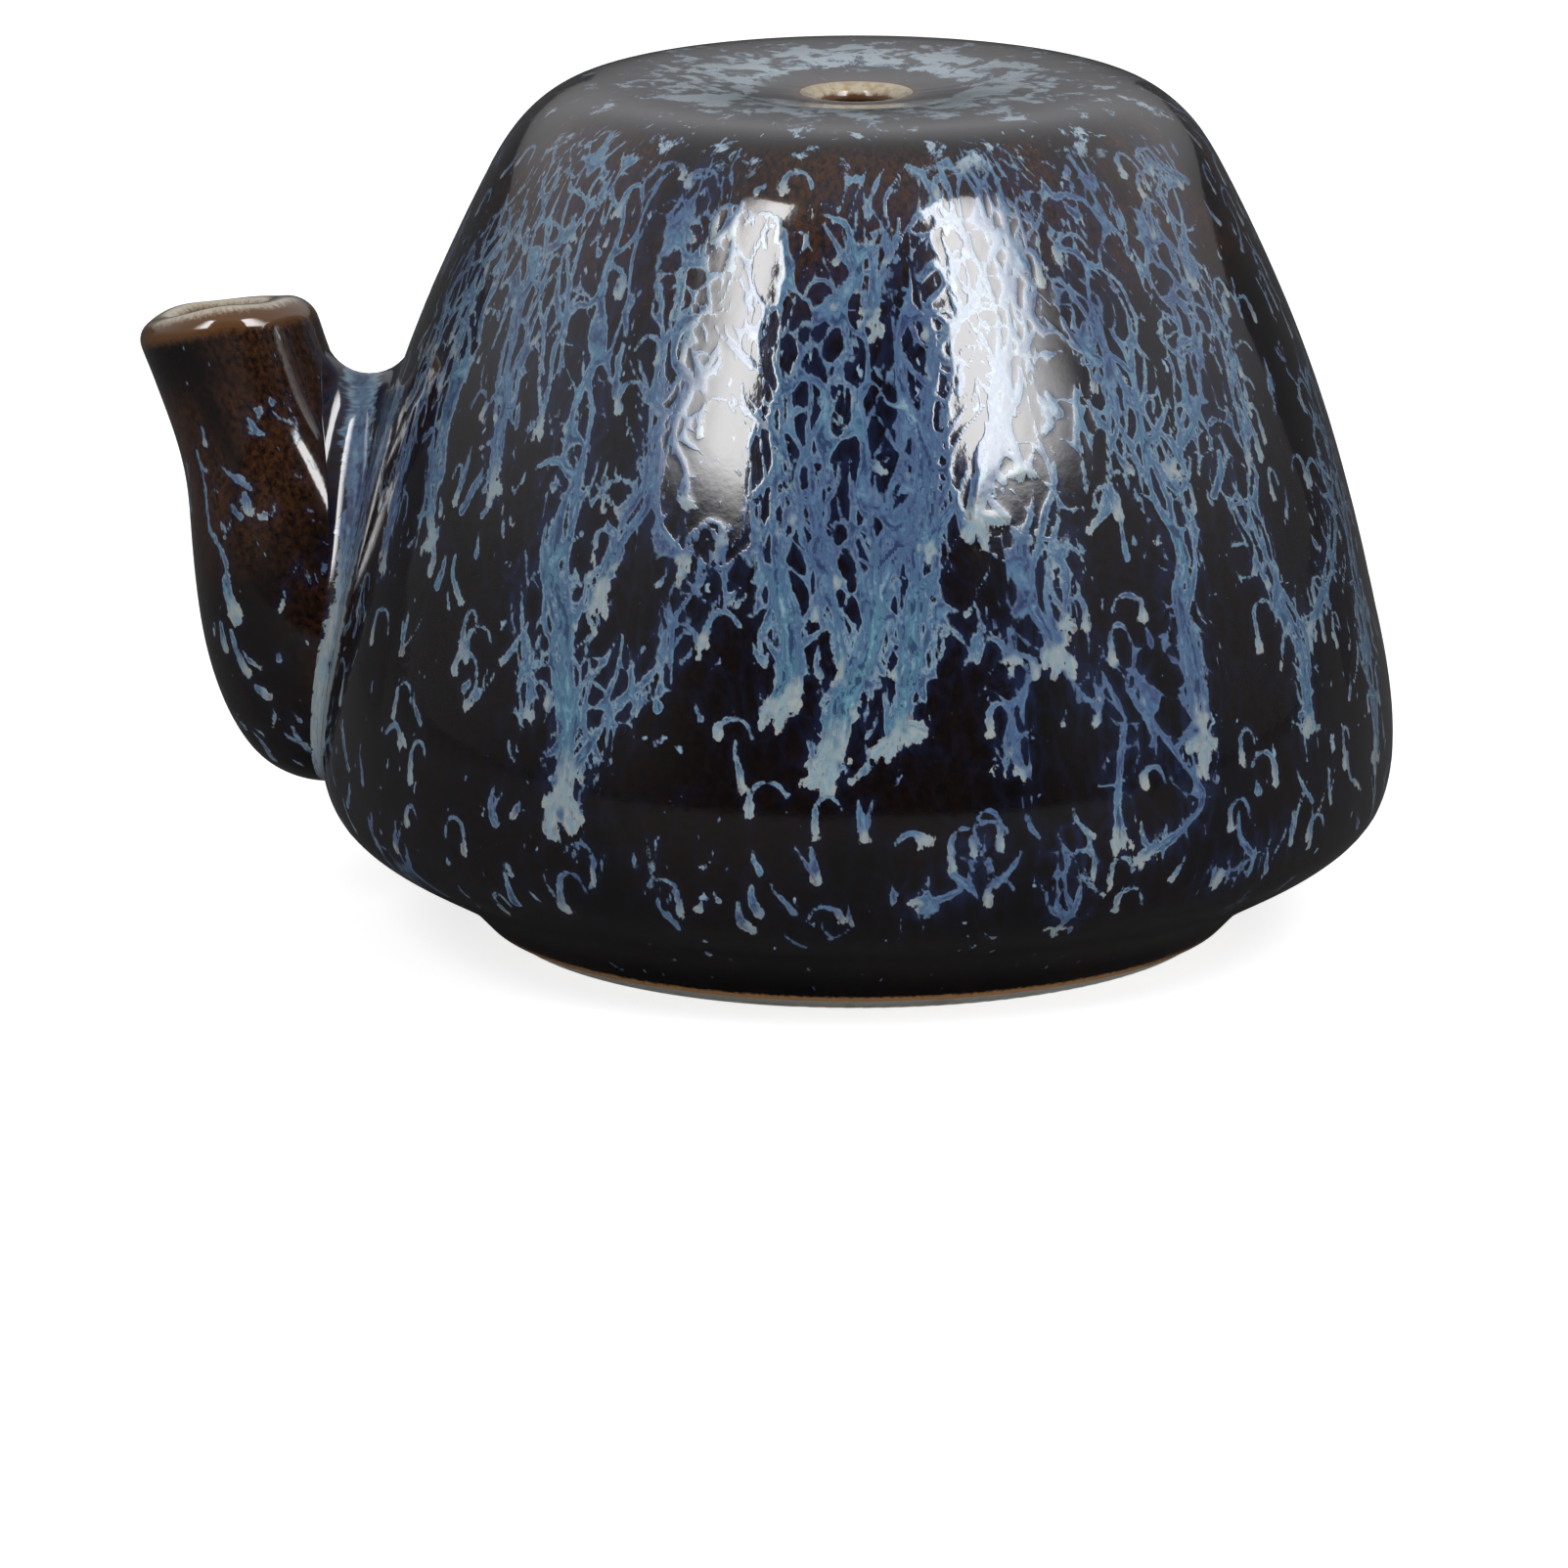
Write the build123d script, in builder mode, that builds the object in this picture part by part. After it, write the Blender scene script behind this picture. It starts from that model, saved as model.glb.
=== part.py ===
from build123d import *
import math
import os

# A calligraphy water dropper: a glazed stoneware vessel that is turned round the Z axis, with a small
# air hole in its crown and a hollow, pear-shaped spout luted on at -X. The origin is the centre of the
# foot's underside, +Z is up, and all lengths are in millimetres.

# Body
body_height = 57.9
belly_radius = 36.4
clay_wall = 2.8
glaze = 0.3
seat_drop = 1.3
belly_seat_inset = 2.0

# Air hole in the crown
air_hole_radius = 2.7
air_hole_rim = 1.08
air_hole_dip = 0.75

# Foot
foot_height = 3.1
foot_base_inset = 1.4
foot_width = 3.0
foot_edge = 0.6
foot_tongue_height = 0.7
foot_tongue_inset = 1.0
foot_tongue_width = 3.6

# Spout: a pear turned round an axis that leans outward from the mouth's centre
mouth_overhang = 7.2
spout_lean = 20
spout_belly_radius = 9.2
spout_side_wall = 2.6
spout_end_wall = 2.8
mouth_lean = 10
mouth_roll = 6
mouth_radius = 2.9
lip_depth = 3.4

# Passage from the body into the spout, the wall left between it and the seat below, and how far the
# roll of clay along the joint of body and spout stands out from both
outlet_radius = 3.5
outlet_seat_gap = 2.2
joint_build = 1.5

# Room past a surface for cutting solids, and the steps used to follow a curve
overrun = 5.0
curve_steps = 36

# Outline of the glazed body from the air hole's rim to the glaze line on the foot, as shares of the
# belly's radius and of the height
body_shares = [
    (0.240, 0.996),
    (0.400, 1.000),
    (0.548, 0.986),
    (0.635, 0.940),
    (0.688, 0.884),
    (0.824, 0.694),
    (0.904, 0.539),
    (0.967, 0.375),
    (1.000, 0.225),
    (0.972, 0.145),
    (0.874, 0.093),
    (0.766, 0.054),
    (0.737, 0.040),
    (0.698, 0.015),
]

# Where the crown's seat crosses the wall, in the same shares
crown_seat_share = (0.629, 0.905)

# Heights of the mouth's centre and of the pear's low end, as shares of the body's height
spout_height_shares = (0.7133, 0.1658)

# Roundings of the lip's outer and inner edge, as shares of its width
lip_rounding_shares = (0.57, 0.37)

# Outline of the spout, as shares of its belly's radius and of its length down from the mouth. It starts
# above the mouth, where the lip is cut.
spout_shares = [
    (0.640, -0.080),
    (0.646, 0.120),
    (0.657, 0.252),
    (0.690, 0.311),
    (0.797, 0.420),
    (0.902, 0.528),
    (0.980, 0.641),
    (1.000, 0.720),
    (0.967, 0.822),
    (0.880, 0.890),
    (0.600, 0.967),
    (0.000, 1.000),
]

# Outline of the spout's hollow, as shares of its radius and of its length. It starts where the straight
# throat ends, with the mouth's own radius.
hollow_shares = [
    (0.44, 0.308),
    (0.65, 0.420),
    (0.95, 0.660),
    (1.00, 0.790),
    (0.84, 0.920),
    (0.00, 1.000),
]


def sunk(curve, depth):
    # A curve drawn from top to bottom, moved towards the axis by the depth.
    points = []
    for step in range(curve_steps + 1):
        place = curve @ (step / curve_steps)
        way = curve % (step / curve_steps)
        points.append(place + Vector(way.Y, -way.X) * depth)
    return Spline(*points, tangents=(curve % 0, curve % 1), mode=Mode.PRIVATE)


def turned(outline, axis, plane):
    # A solid turned round the axis, from an outline that is closed towards the axis at both ends.
    top = outline @ 0
    bottom = outline @ 1
    with BuildPart() as form:
        with BuildSketch(plane):
            with BuildLine():
                add(outline)
                Line(top, (0, top.Y))
                Line((0, top.Y), (0, bottom.Y))
                if bottom.X:
                    Line((0, bottom.Y), bottom)
            make_face()
        revolve(axis=axis)
    return form.part


def coat_between(outer, inner, axis, plane):
    # A turned skin between two outlines that end at the same places.
    with BuildPart() as form:
        with BuildSketch(plane):
            with BuildLine():
                add([outer, inner])
                Line(outer @ 0, inner @ 0)
                if (outer @ 1 - inner @ 1).length:
                    Line(outer @ 1, inner @ 1)
            make_face()
        revolve(axis=axis)
    return form.part


def air_hole_cut(depth):
    # The air hole with its flared rim, wider by the depth than the glazed hole.
    flare = air_hole_radius + air_hole_rim
    with BuildPart() as form:
        with BuildSketch(Plane.XZ):
            with BuildLine():
                rim = CenterArc((flare, rim_height - air_hole_rim), air_hole_rim - depth, 90, 90)
                top = (flare, rim_height + overrun)
                low = (air_hole_radius + depth, crown_under - overrun)
                Polyline(rim @ 0, top, (0, top[1]), (0, low[1]), low, rim @ 1)
            make_face()
        revolve(axis=Axis.Z)
    return form.part


def outlet_cut(depth):
    # The round passage from the body's hollow into the spout's, wider by the depth than the glazed one.
    with BuildPart() as form:
        with BuildSketch(Plane.YZ.offset(-belly_radius - overrun)):
            with Locations((0, outlet_height)):
                Circle(outlet_radius + depth)
        extrude(amount=2 * overrun + clay_wall)
    return form.part


def above_seat(radius, height):
    # Everything above a bevelled seat that crosses the wall, and slopes down towards the axis.
    outer = (radius + clay_wall + overrun, height + seat_drop * (clay_wall + overrun) / clay_wall)
    inner = (radius - clay_wall, height - seat_drop)
    top = body_height + overrun
    with BuildPart() as form:
        with BuildSketch(Plane.XZ):
            with BuildLine():
                Polyline((0, inner[1]), inner, outer, (outer[0], top), (0, top), close=True)
            make_face()
        revolve(axis=Axis.Z)
    return form.part


def spout_form(depth):
    # The pear without its hollow, the given depth under its glazed surface, with a rounded mouth.
    with BuildPart() as form:
        add(turned(sunk(spout_outline, depth), spout_axis, spout_plane))
        split(bisect_by=mouth_plane.offset(-depth), keep=Keep.BOTTOM)
    return form.part


def spout_hollow(depth):
    # The spout's bore and hollow, wider by the depth than the glazed one.
    with BuildPart() as form:
        add(turned(sunk(hollow_outline, -depth), spout_axis, spout_plane))
        with BuildSketch(Plane(mouth, x_dir=spout_plane.x_dir, z_dir=spout_way).offset(-spout_throat)):
            Circle(mouth_radius + depth)
        extrude(amount=spout_throat + overrun)
    return form.part


def lipped_spout(depth):
    # The pear with its hollow and a rounded lip, the given depth under the glaze.
    with BuildPart() as form:
        add(spout_form(depth))
        add(spout_hollow(depth), mode=Mode.SUBTRACT)
        for place, share in zip((-1, 0), lip_rounding_shares):
            lip = form.faces().sort_by(Axis(mouth, mouth_plane.z_dir))[-1]
            edge = lip.edges().sort_by(SortBy.LENGTH)[place]
            fillet(edge, radius=share * lip_width - depth)
    return form.part


def joint_form(depth):
    # What lies inside both the body and the pear, each taken at the given depth under its glaze.
    with BuildPart() as form:
        add(turned(sunk(body_outline, depth), Axis.Z, Plane.XZ))
        add(spout_form(depth), mode=Mode.INTERSECT)
    return form.part


# Outlines, places and planes that follow from the sizes
rim_height = body_height - air_hole_dip
crown_under = rim_height - clay_wall - 2 * glaze
body_points = [(radius * belly_radius, height * body_height) for radius, height in body_shares]
body_outline = Spline(
    (air_hole_radius + air_hole_rim, rim_height), *body_points, tangents=((1, 0), (-1, -1))
)

crown_seat_radius = crown_seat_share[0] * belly_radius
crown_seat_height = crown_seat_share[1] * body_height
belly_seat_radius = belly_radius - belly_seat_inset
floor_height = foot_height + clay_wall
foot_base_radius = body_points[-1][0] - foot_base_inset
foot_inner_radius = foot_base_radius - foot_width
foot_tongue_inner = foot_inner_radius + foot_tongue_inset
foot_tongue_outer = foot_tongue_inner + foot_tongue_width

lean = math.radians(spout_lean)
mouth_reach = belly_radius + mouth_overhang
mouth_height, spout_end_height = (share * body_height for share in spout_height_shares)
spout_length = (mouth_height - spout_end_height) / math.cos(lean)
spout_hollow_length = spout_length - spout_end_wall
spout_hollow_radius = spout_belly_radius - spout_side_wall
spout_throat = hollow_shares[0][1] * spout_hollow_length
lip_width = spout_shares[0][0] * spout_belly_radius - mouth_radius
outlet_height = mouth_height - max(spout_shares)[1] * spout_length * math.cos(lean)
belly_seat_height = outlet_height - outlet_radius - outlet_seat_gap
mouth = Vector(-mouth_reach, 0, mouth_height)
spout_way = Vector(-math.sin(lean), 0, math.cos(lean))
spout_axis = Axis(mouth, spout_way)
spout_plane = Plane(mouth, x_dir=(math.cos(lean), 0, math.sin(lean)), z_dir=(0, -1, 0))
mouth_plane = Plane(mouth).rotated((-mouth_roll, -mouth_lean, 0))
spout_points = [(radius * spout_belly_radius, -way * spout_length) for radius, way in spout_shares]
spout_outline = Spline(*spout_points, tangents=((0, -1), (-1, 0)))
hollow_points = [
    (radius * spout_hollow_radius, -way * spout_hollow_length) for radius, way in hollow_shares[1:]
]
hollow_outline = Spline((mouth_radius, -spout_throat), *hollow_points, tangents=((0, -1), (-1, 0)))

# Solids of the glazed surface, of the clay under it, and of the hollow in the clay
glazed_body = turned(body_outline, Axis.Z, Plane.XZ)
clay_body = turned(sunk(body_outline, glaze), Axis.Z, Plane.XZ)
above_crown_seat = above_seat(crown_seat_radius, crown_seat_height)
above_belly_seat = above_seat(belly_seat_radius, belly_seat_height)

with BuildPart() as clay_hollow:
    add(turned(sunk(body_outline, glaze + clay_wall), Axis.Z, Plane.XZ))
    split(bisect_by=Plane.XY.offset(floor_height))

with BuildPart() as water_space:
    add(turned(sunk(body_outline, 2 * glaze + clay_wall), Axis.Z, Plane.XZ))
    split(bisect_by=Plane.XY.offset(floor_height + glaze))

# Crown: the disc that closes the vessel, bevelled where it sits in the wall, with the air hole
with BuildPart() as crown:
    add(clay_body)
    add(clay_hollow.part, mode=Mode.SUBTRACT)
    add(above_crown_seat, mode=Mode.INTERSECT)
    add(air_hole_cut(glaze), mode=Mode.SUBTRACT)
crown.part.label = "crown"

# Body wall: the cone between the two seats, with the passage into the spout
with BuildPart() as body_wall:
    add(clay_body)
    add(clay_hollow.part, mode=Mode.SUBTRACT)
    add(above_crown_seat, mode=Mode.SUBTRACT)
    add(above_belly_seat, mode=Mode.INTERSECT)
    add(outlet_cut(glaze), mode=Mode.SUBTRACT)
body_wall.part.label = "body_wall"

# Bowl: the rounded bottom and the floor, with a groove for the foot ring's tongue
with BuildPart() as bowl:
    add(clay_body)
    add(clay_hollow.part, mode=Mode.SUBTRACT)
    add(above_belly_seat, mode=Mode.SUBTRACT)
    split(bisect_by=Plane.XY.offset(foot_height))
    with BuildSketch(Plane.XY.offset(foot_height)):
        Circle(foot_tongue_outer)
        Circle(foot_tongue_inner, mode=Mode.SUBTRACT)
    extrude(amount=foot_tongue_height, mode=Mode.SUBTRACT)
bowl.part.label = "bowl"

# Foot ring: it carries the vessel on bare clay, and its tongue sits in the bowl's groove
with BuildPart() as foot_side:
    add(clay_body)
    split(bisect_by=Plane.XY.offset(foot_height), keep=Keep.BOTTOM)

with BuildPart() as foot_ring:
    with BuildSketch(Plane.XZ):
        with BuildLine():
            side = Line((foot_base_radius, 0), sunk(body_outline, glaze) @ 1)
            Polyline(side @ 1, (0, (side @ 1).Y), (0, 0), side @ 0)
        make_face()
    revolve(axis=Axis.Z)
    add(foot_side.part)
    with BuildSketch(Plane.XY.offset(foot_height)):
        Circle(foot_tongue_outer)
    extrude(amount=foot_tongue_height)
    with BuildSketch(Plane.XY.offset(foot_height)):
        Circle(foot_tongue_inner)
    extrude(amount=foot_tongue_height, mode=Mode.SUBTRACT)
    with BuildSketch():
        Circle(foot_inner_radius)
    extrude(amount=foot_height, mode=Mode.SUBTRACT)
    fillet(foot_ring.faces().sort_by(Axis.Z)[0].edges(), radius=foot_edge)
foot_ring.part.label = "foot_ring"

# Spout: the hollow pear with its thick lip, trimmed to the wall that it stands against
with BuildPart() as spout:
    add(lipped_spout(glaze))
    add(clay_body, mode=Mode.SUBTRACT)
spout.part.label = "spout"

# Spout joint: the roll of clay that lutes the spout to the wall
clay_pear = spout_form(glaze)
with BuildPart() as spout_joint:
    add(joint_form(glaze - joint_build))
    add(clay_body, mode=Mode.SUBTRACT)
    add(clay_pear, mode=Mode.SUBTRACT)
spout_joint.part.label = "spout_joint"

# Joint glaze: the coat that pools over the roll of clay
with BuildPart() as joint_glaze:
    add(joint_form(-joint_build))
    add(glazed_body, mode=Mode.SUBTRACT)
    add(spout_form(0), mode=Mode.SUBTRACT)
    add(spout_joint.part, mode=Mode.SUBTRACT)
joint_glaze.part.label = "joint_glaze"

# Body glaze: the outer coat of the vessel, from the air hole's rim to the line above the foot's base
with BuildPart() as body_glaze:
    add(coat_between(body_outline, sunk(body_outline, glaze), Axis.Z, Plane.XZ))
    add(clay_pear, mode=Mode.SUBTRACT)
    add(spout_joint.part, mode=Mode.SUBTRACT)
body_glaze.part.label = "body_glaze"

# Spout glaze: the outer coat of the pear below the lip
lip_line = Plane(mouth - spout_way * lip_depth, z_dir=mouth_plane.z_dir)
with BuildPart() as spout_glaze:
    add(coat_between(spout_outline, sunk(spout_outline, glaze), spout_axis, spout_plane))
    split(bisect_by=lip_line, keep=Keep.BOTTOM)
    add(glazed_body, mode=Mode.SUBTRACT)
    add(spout_joint.part, mode=Mode.SUBTRACT)
spout_glaze.part.label = "spout_glaze"

# Lip glaze: the thin amber coat over the lip, outside and inside
with BuildPart() as lip_glaze:
    add(lipped_spout(0))
    add(lipped_spout(glaze), mode=Mode.SUBTRACT)
    split(bisect_by=lip_line)
lip_glaze.part.label = "lip_glaze"

# Spout lining: the coat inside the spout, also over the patch of wall that closes it
with BuildPart() as spout_water:
    add(spout_hollow(0))
    add(glazed_body, mode=Mode.SUBTRACT)

with BuildPart() as spout_lining:
    add(spout_hollow(glaze))
    split(bisect_by=lip_line, keep=Keep.BOTTOM)
    add(clay_body, mode=Mode.SUBTRACT)
    add(spout_water.part, mode=Mode.SUBTRACT)
    add(outlet_cut(0), mode=Mode.SUBTRACT)
spout_lining.part.label = "spout_lining"

# Cavity glaze: the coat inside the body and through the passage to the spout
with BuildPart() as cavity_glaze:
    add(outlet_cut(glaze))
    add(clay_body, mode=Mode.INTERSECT)
    add(clay_hollow.part)
    add(water_space.part, mode=Mode.SUBTRACT)
    add(outlet_cut(0), mode=Mode.SUBTRACT)
    add(air_hole_cut(glaze), mode=Mode.SUBTRACT)
cavity_glaze.part.label = "cavity_glaze"

# Air hole glaze: the cream coat round the air hole and down its wall
with BuildPart() as air_hole_glaze:
    add(air_hole_cut(glaze))
    add(air_hole_cut(0), mode=Mode.SUBTRACT)
    add(glazed_body, mode=Mode.INTERSECT)
    split(bisect_by=Plane.XY.offset(crown_under))
air_hole_glaze.part.label = "air_hole_glaze"

# Recess glaze: the coat on the bowl's underside, inside the foot ring
with BuildPart() as recess_glaze:
    with BuildSketch(Plane.XY.offset(foot_height)):
        Circle(foot_inner_radius)
    extrude(amount=-glaze)
recess_glaze.part.label = "recess_glaze"

os.makedirs("parts", exist_ok=True)
for piece in (
    crown,
    body_wall,
    bowl,
    foot_ring,
    spout,
    spout_joint,
    joint_glaze,
    body_glaze,
    spout_glaze,
    lip_glaze,
    spout_lining,
    cavity_glaze,
    air_hole_glaze,
    recess_glaze,
):
    export_step(piece.part, f"parts/{piece.part.label}.step")
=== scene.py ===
import math

import bpy
import numpy as np
from mathutils import Matrix, Vector


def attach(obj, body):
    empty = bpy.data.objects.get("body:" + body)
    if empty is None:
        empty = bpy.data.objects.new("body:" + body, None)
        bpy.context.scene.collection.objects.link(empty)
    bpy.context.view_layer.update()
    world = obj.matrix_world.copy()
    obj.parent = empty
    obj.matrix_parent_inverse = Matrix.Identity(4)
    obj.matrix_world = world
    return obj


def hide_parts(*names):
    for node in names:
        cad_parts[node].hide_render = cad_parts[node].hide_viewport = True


# A black-glazed calligraphy water dropper with blue runs. Lengths in the dictionaries are millimetres.
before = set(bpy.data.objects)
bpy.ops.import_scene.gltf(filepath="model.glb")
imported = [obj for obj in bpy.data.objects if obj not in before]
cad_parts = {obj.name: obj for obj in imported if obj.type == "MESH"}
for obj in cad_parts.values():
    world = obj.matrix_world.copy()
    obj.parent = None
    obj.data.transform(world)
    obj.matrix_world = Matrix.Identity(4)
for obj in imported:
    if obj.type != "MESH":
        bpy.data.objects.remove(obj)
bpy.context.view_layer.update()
print("frame loaded:", len(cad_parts), "nodes")

mm = 0.001
collection = bpy.context.scene.collection
bpy.context.scene.view_settings.view_transform = "Standard"


def linked(name, data):
    made = bpy.data.objects.new(name, data)
    collection.objects.link(made)
    return made


def meshOf(name, points, faces):
    mesh = bpy.data.meshes.new(name)
    mesh.from_pydata(points, [], faces)
    return mesh


def unit(ways):
    return ways / np.linalg.norm(ways, axis=1)[:, None]


def runOf(line):
    # How far each point lies along the line.
    return np.concatenate([[0], np.cumsum(np.linalg.norm(np.diff(line, axis=0), axis=1))])


def evenly(line, steps):
    run = runOf(line)
    at = np.linspace(0, run[-1], steps + 1)
    return np.stack([np.interp(at, run, line[:, 0]), np.interp(at, run, line[:, 1])], axis=1)


def smoothLine(points, startWay, endWay, spacing):
    # A smooth line through the points that leaves and arrives along the given ways: cubic pieces whose
    # bend runs on from one to the next.
    p = np.array(points, float)
    h = np.linalg.norm(np.diff(p, axis=0), axis=1)
    n = len(p)
    a = np.zeros((n, n))
    b = np.zeros((n, 2))
    a[0, 0] = a[-1, -1] = 1
    b[0] = np.array(startWay) / np.linalg.norm(startWay)
    b[-1] = np.array(endWay) / np.linalg.norm(endWay)
    for i in range(1, n - 1):
        a[i, i - 1] = 1 / h[i - 1]
        a[i, i] = 2 / h[i - 1] + 2 / h[i]
        a[i, i + 1] = 1 / h[i]
        b[i] = 3 * ((p[i] - p[i - 1]) / h[i - 1] ** 2 + (p[i + 1] - p[i]) / h[i] ** 2)
    m = np.linalg.solve(a, b)
    fine = []
    for i in range(n - 1):
        t = np.linspace(0, 1, 60, endpoint=False)[:, None]
        fine.append(
            (1 + 2 * t) * (1 - t) ** 2 * p[i]
            + t * (1 - t) ** 2 * h[i] * m[i]
            + t * t * (3 - 2 * t) * p[i + 1]
            + t * t * (t - 1) * h[i] * m[i + 1]
        )
    fine = np.vstack([*fine, p[-1:]])
    return evenly(fine, max(2, round(runOf(fine)[-1] / spacing)))


# Outline of body and spout
outlineStep = 0.1
bodySize = {
    "height": 57.9,
    "bellyRadius": 36.4,
    # from the crown to the foot: radius as a share of the belly's, height as a share of the body's
    "shares": [
        (0.240, 0.996), (0.400, 1.000), (0.548, 0.986), (0.635, 0.940), (0.688, 0.884),
        (0.824, 0.694), (0.904, 0.539), (0.967, 0.375), (1.000, 0.225), (0.972, 0.145),
        (0.874, 0.093), (0.766, 0.054), (0.737, 0.040), (0.698, 0.015),
    ],
    "holeRim": (3.78, 57.15),
}
spoutSize = {
    "mouth": (-43.6, 0.0, 41.3),
    "lean": 20.0,  # degrees from upright
    "length": 33.73,
    "bellyRadius": 9.2,
    # from the neck to the low end: radius as a share of the belly's, way down as a share of the length
    "shares": [
        (0.646, 0.120), (0.657, 0.252), (0.690, 0.311), (0.797, 0.420), (0.902, 0.528),
        (0.980, 0.641), (1.000, 0.720), (0.967, 0.822), (0.880, 0.890), (0.600, 0.967),
        (0.000, 1.000),
    ],
    "mouthRadius": 2.9,
    "lipRounding": 1.75,
    "mouthRounding": 1.1,
    "throat": 9.5,  # mm that the skin reaches down into the bore
    "mouthLean": 10.0,  # degrees that the mouth's plane leans outward and rolls back
    "mouthRoll": 6.0,
    "lipWaver": 0.16,
    "lipFade": (11.0, 2.0),  # mm below the mouth between which lean, roll and waver set in
}


def bodyOutline():
    s = bodySize
    points = [(r * s["bellyRadius"], z * s["height"]) for r, z in s["shares"]]
    return smoothLine([s["holeRim"], *points], (1, 0), (-1, -1), outlineStep)


def spoutOutline():
    # From the throat up the bore, over the lip and down to the pear's low end. x is the distance from
    # the spout's axis and y the way up from the mouth.
    s = spoutSize
    points = [(r * s["bellyRadius"], -t * s["length"]) for r, t in s["shares"]]
    pear = smoothLine(points, (0, -1), (-1, 0), outlineStep)
    bore = s["mouthRadius"]
    inner, outer = s["mouthRounding"], s["lipRounding"]
    rises = round((s["throat"] - inner) / outlineStep)
    up = [(bore, -s["throat"] + outlineStep * i) for i in range(rises)]
    turn = np.radians(np.linspace(180, 90, 18))
    inside = [(bore + inner + inner * math.cos(a), -inner + inner * math.sin(a)) for a in turn]
    lipRadius = points[0][0] + 0.05
    turn = np.radians(np.linspace(90, 0, 26))
    outside = [(lipRadius - outer + outer * math.cos(a), -outer + outer * math.sin(a)) for a in turn]
    gap = lipRadius - outer - bore - inner
    top = [(bore + inner + gap / 2, 0.0)] if gap > outlineStep else []
    below = [outside[-1], (points[0][0] + 0.02, -3.0), points[0]]
    neck = smoothLine(below, (0, -1), (0, -1), outlineStep)
    line = np.array([*up, *inside, *top, *outside, *neck[1:-1], *pear])
    return evenly(line, round(runOf(line)[-1] / outlineStep))


bodyLine = bodyOutline()
spoutLine = spoutOutline()
bodyRun = runOf(bodyLine)
spoutRun = runOf(spoutLine)
print("outlines:", len(bodyLine), "and", len(spoutLine), "points, body", round(bodyRun[-1], 2), "mm")


class Nodes:
    # Shorthand for building a node tree: a call adds a node, feeds its inputs and gives its output.
    def __init__(self, tree):
        self.tree = tree

    def feed(self, source, socket):
        # A link from a socket, or a plain value.
        if isinstance(source, bpy.types.NodeSocket):
            self.tree.links.new(source, socket)
        elif isinstance(source, (tuple, list)) and len(socket.default_value) == 4:
            socket.default_value = (*source[:3], 1)
        else:
            socket.default_value = source

    def add(self, kind, inputs=None, **settings):
        made = self.tree.nodes.new(kind)
        for name, value in settings.items():
            setattr(made, name, value)
        for name, source in (inputs or {}).items():
            self.feed(source, made.inputs[name])
        return made

    def maths(self, operation, *values):
        return self.add("ShaderNodeMath", dict(enumerate(values)), operation=operation).outputs[0]

    def plus(self, first, second):
        return self.maths("ADD", first, second)

    def minus(self, first, second):
        return self.maths("SUBTRACT", first, second)

    def times(self, first, second):
        return self.maths("MULTIPLY", first, second)

    def scaled(self, value, factor, offset):
        return self.maths("MULTIPLY_ADD", value, factor, offset)

    def vectors(self, operation, *values):
        made = self.add("ShaderNodeVectorMath", dict(enumerate(values)), operation=operation)
        return made.outputs["Value" if operation in ("LENGTH", "DOT_PRODUCT") else "Vector"]

    def parts(self, vector):
        return self.add("ShaderNodeSeparateXYZ", {0: vector}).outputs

    def between(self, *values):
        # Eased from 0 to 1 between two limits, or between two values of one's own.
        inputs = dict(enumerate(values))
        return self.add("ShaderNodeMapRange", inputs, interpolation_type="SMOOTHSTEP").outputs[0]

    def blend(self, share, first, second):
        return self.add("ShaderNodeMix", {"Factor": share, 6: first, 7: second}, data_type="RGBA").outputs[2]

    def cloud(self, where, scale, detail=2.0, rough=0.5, distortion=0.0, colour=False):
        inputs = {
            "Vector": where,
            "Scale": scale,
            "Detail": detail,
            "Roughness": rough,
            "Distortion": distortion,
        }
        return self.add("ShaderNodeTexNoise", inputs).outputs["Color" if colour else "Fac"]

    def cells(self, where, scale, output="Distance"):
        return self.add("ShaderNodeTexVoronoi", {"Vector": where, "Scale": scale}).outputs[output]

    def stretched(self, where, down):
        return self.vectors("MULTIPLY", where, (1, 1, down))

    def shifted(self, where, noise, amount):
        # Moves a place by a coloured noise, for warped patterns.
        centred = self.vectors("SUBTRACT", noise, (0.5, 0.5, 0.5))
        return self.vectors("ADD", where, self.vectors("MULTIPLY", centred, (amount, amount, amount)))

    def attribute(self, name, output="Fac"):
        return self.add("ShaderNodeAttribute", attribute_name=name).outputs[output]

    def place(self):
        return self.add("ShaderNodeTexCoord").outputs["Object"]

    def placeInMm(self):
        return self.vectors("MULTIPLY", self.place(), (1000.0, 1000.0, 1000.0))

    def bump(self, height, strength, distance):
        inputs = {"Strength": strength, "Distance": distance, "Height": height}
        return self.add("ShaderNodeBump", inputs).outputs[0]


def emptied(owner):
    owner.use_nodes = True
    owner.node_tree.nodes.clear()
    return Nodes(owner.node_tree)


# The outline turned into a skin
def outlineCurve(name, line):
    data = bpy.data.curves.new(name, "CURVE")
    data.dimensions = "3D"
    spline = data.splines.new("POLY")
    spline.points.add(len(line) - 1)
    flat = np.zeros((len(line), 4), np.float32)
    flat[:, 0] = line[:, 0] * mm
    flat[:, 2] = line[:, 1] * mm
    flat[:, 3] = 1
    spline.points.foreach_set("co", flat.ravel())
    return linked(name, data)


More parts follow.
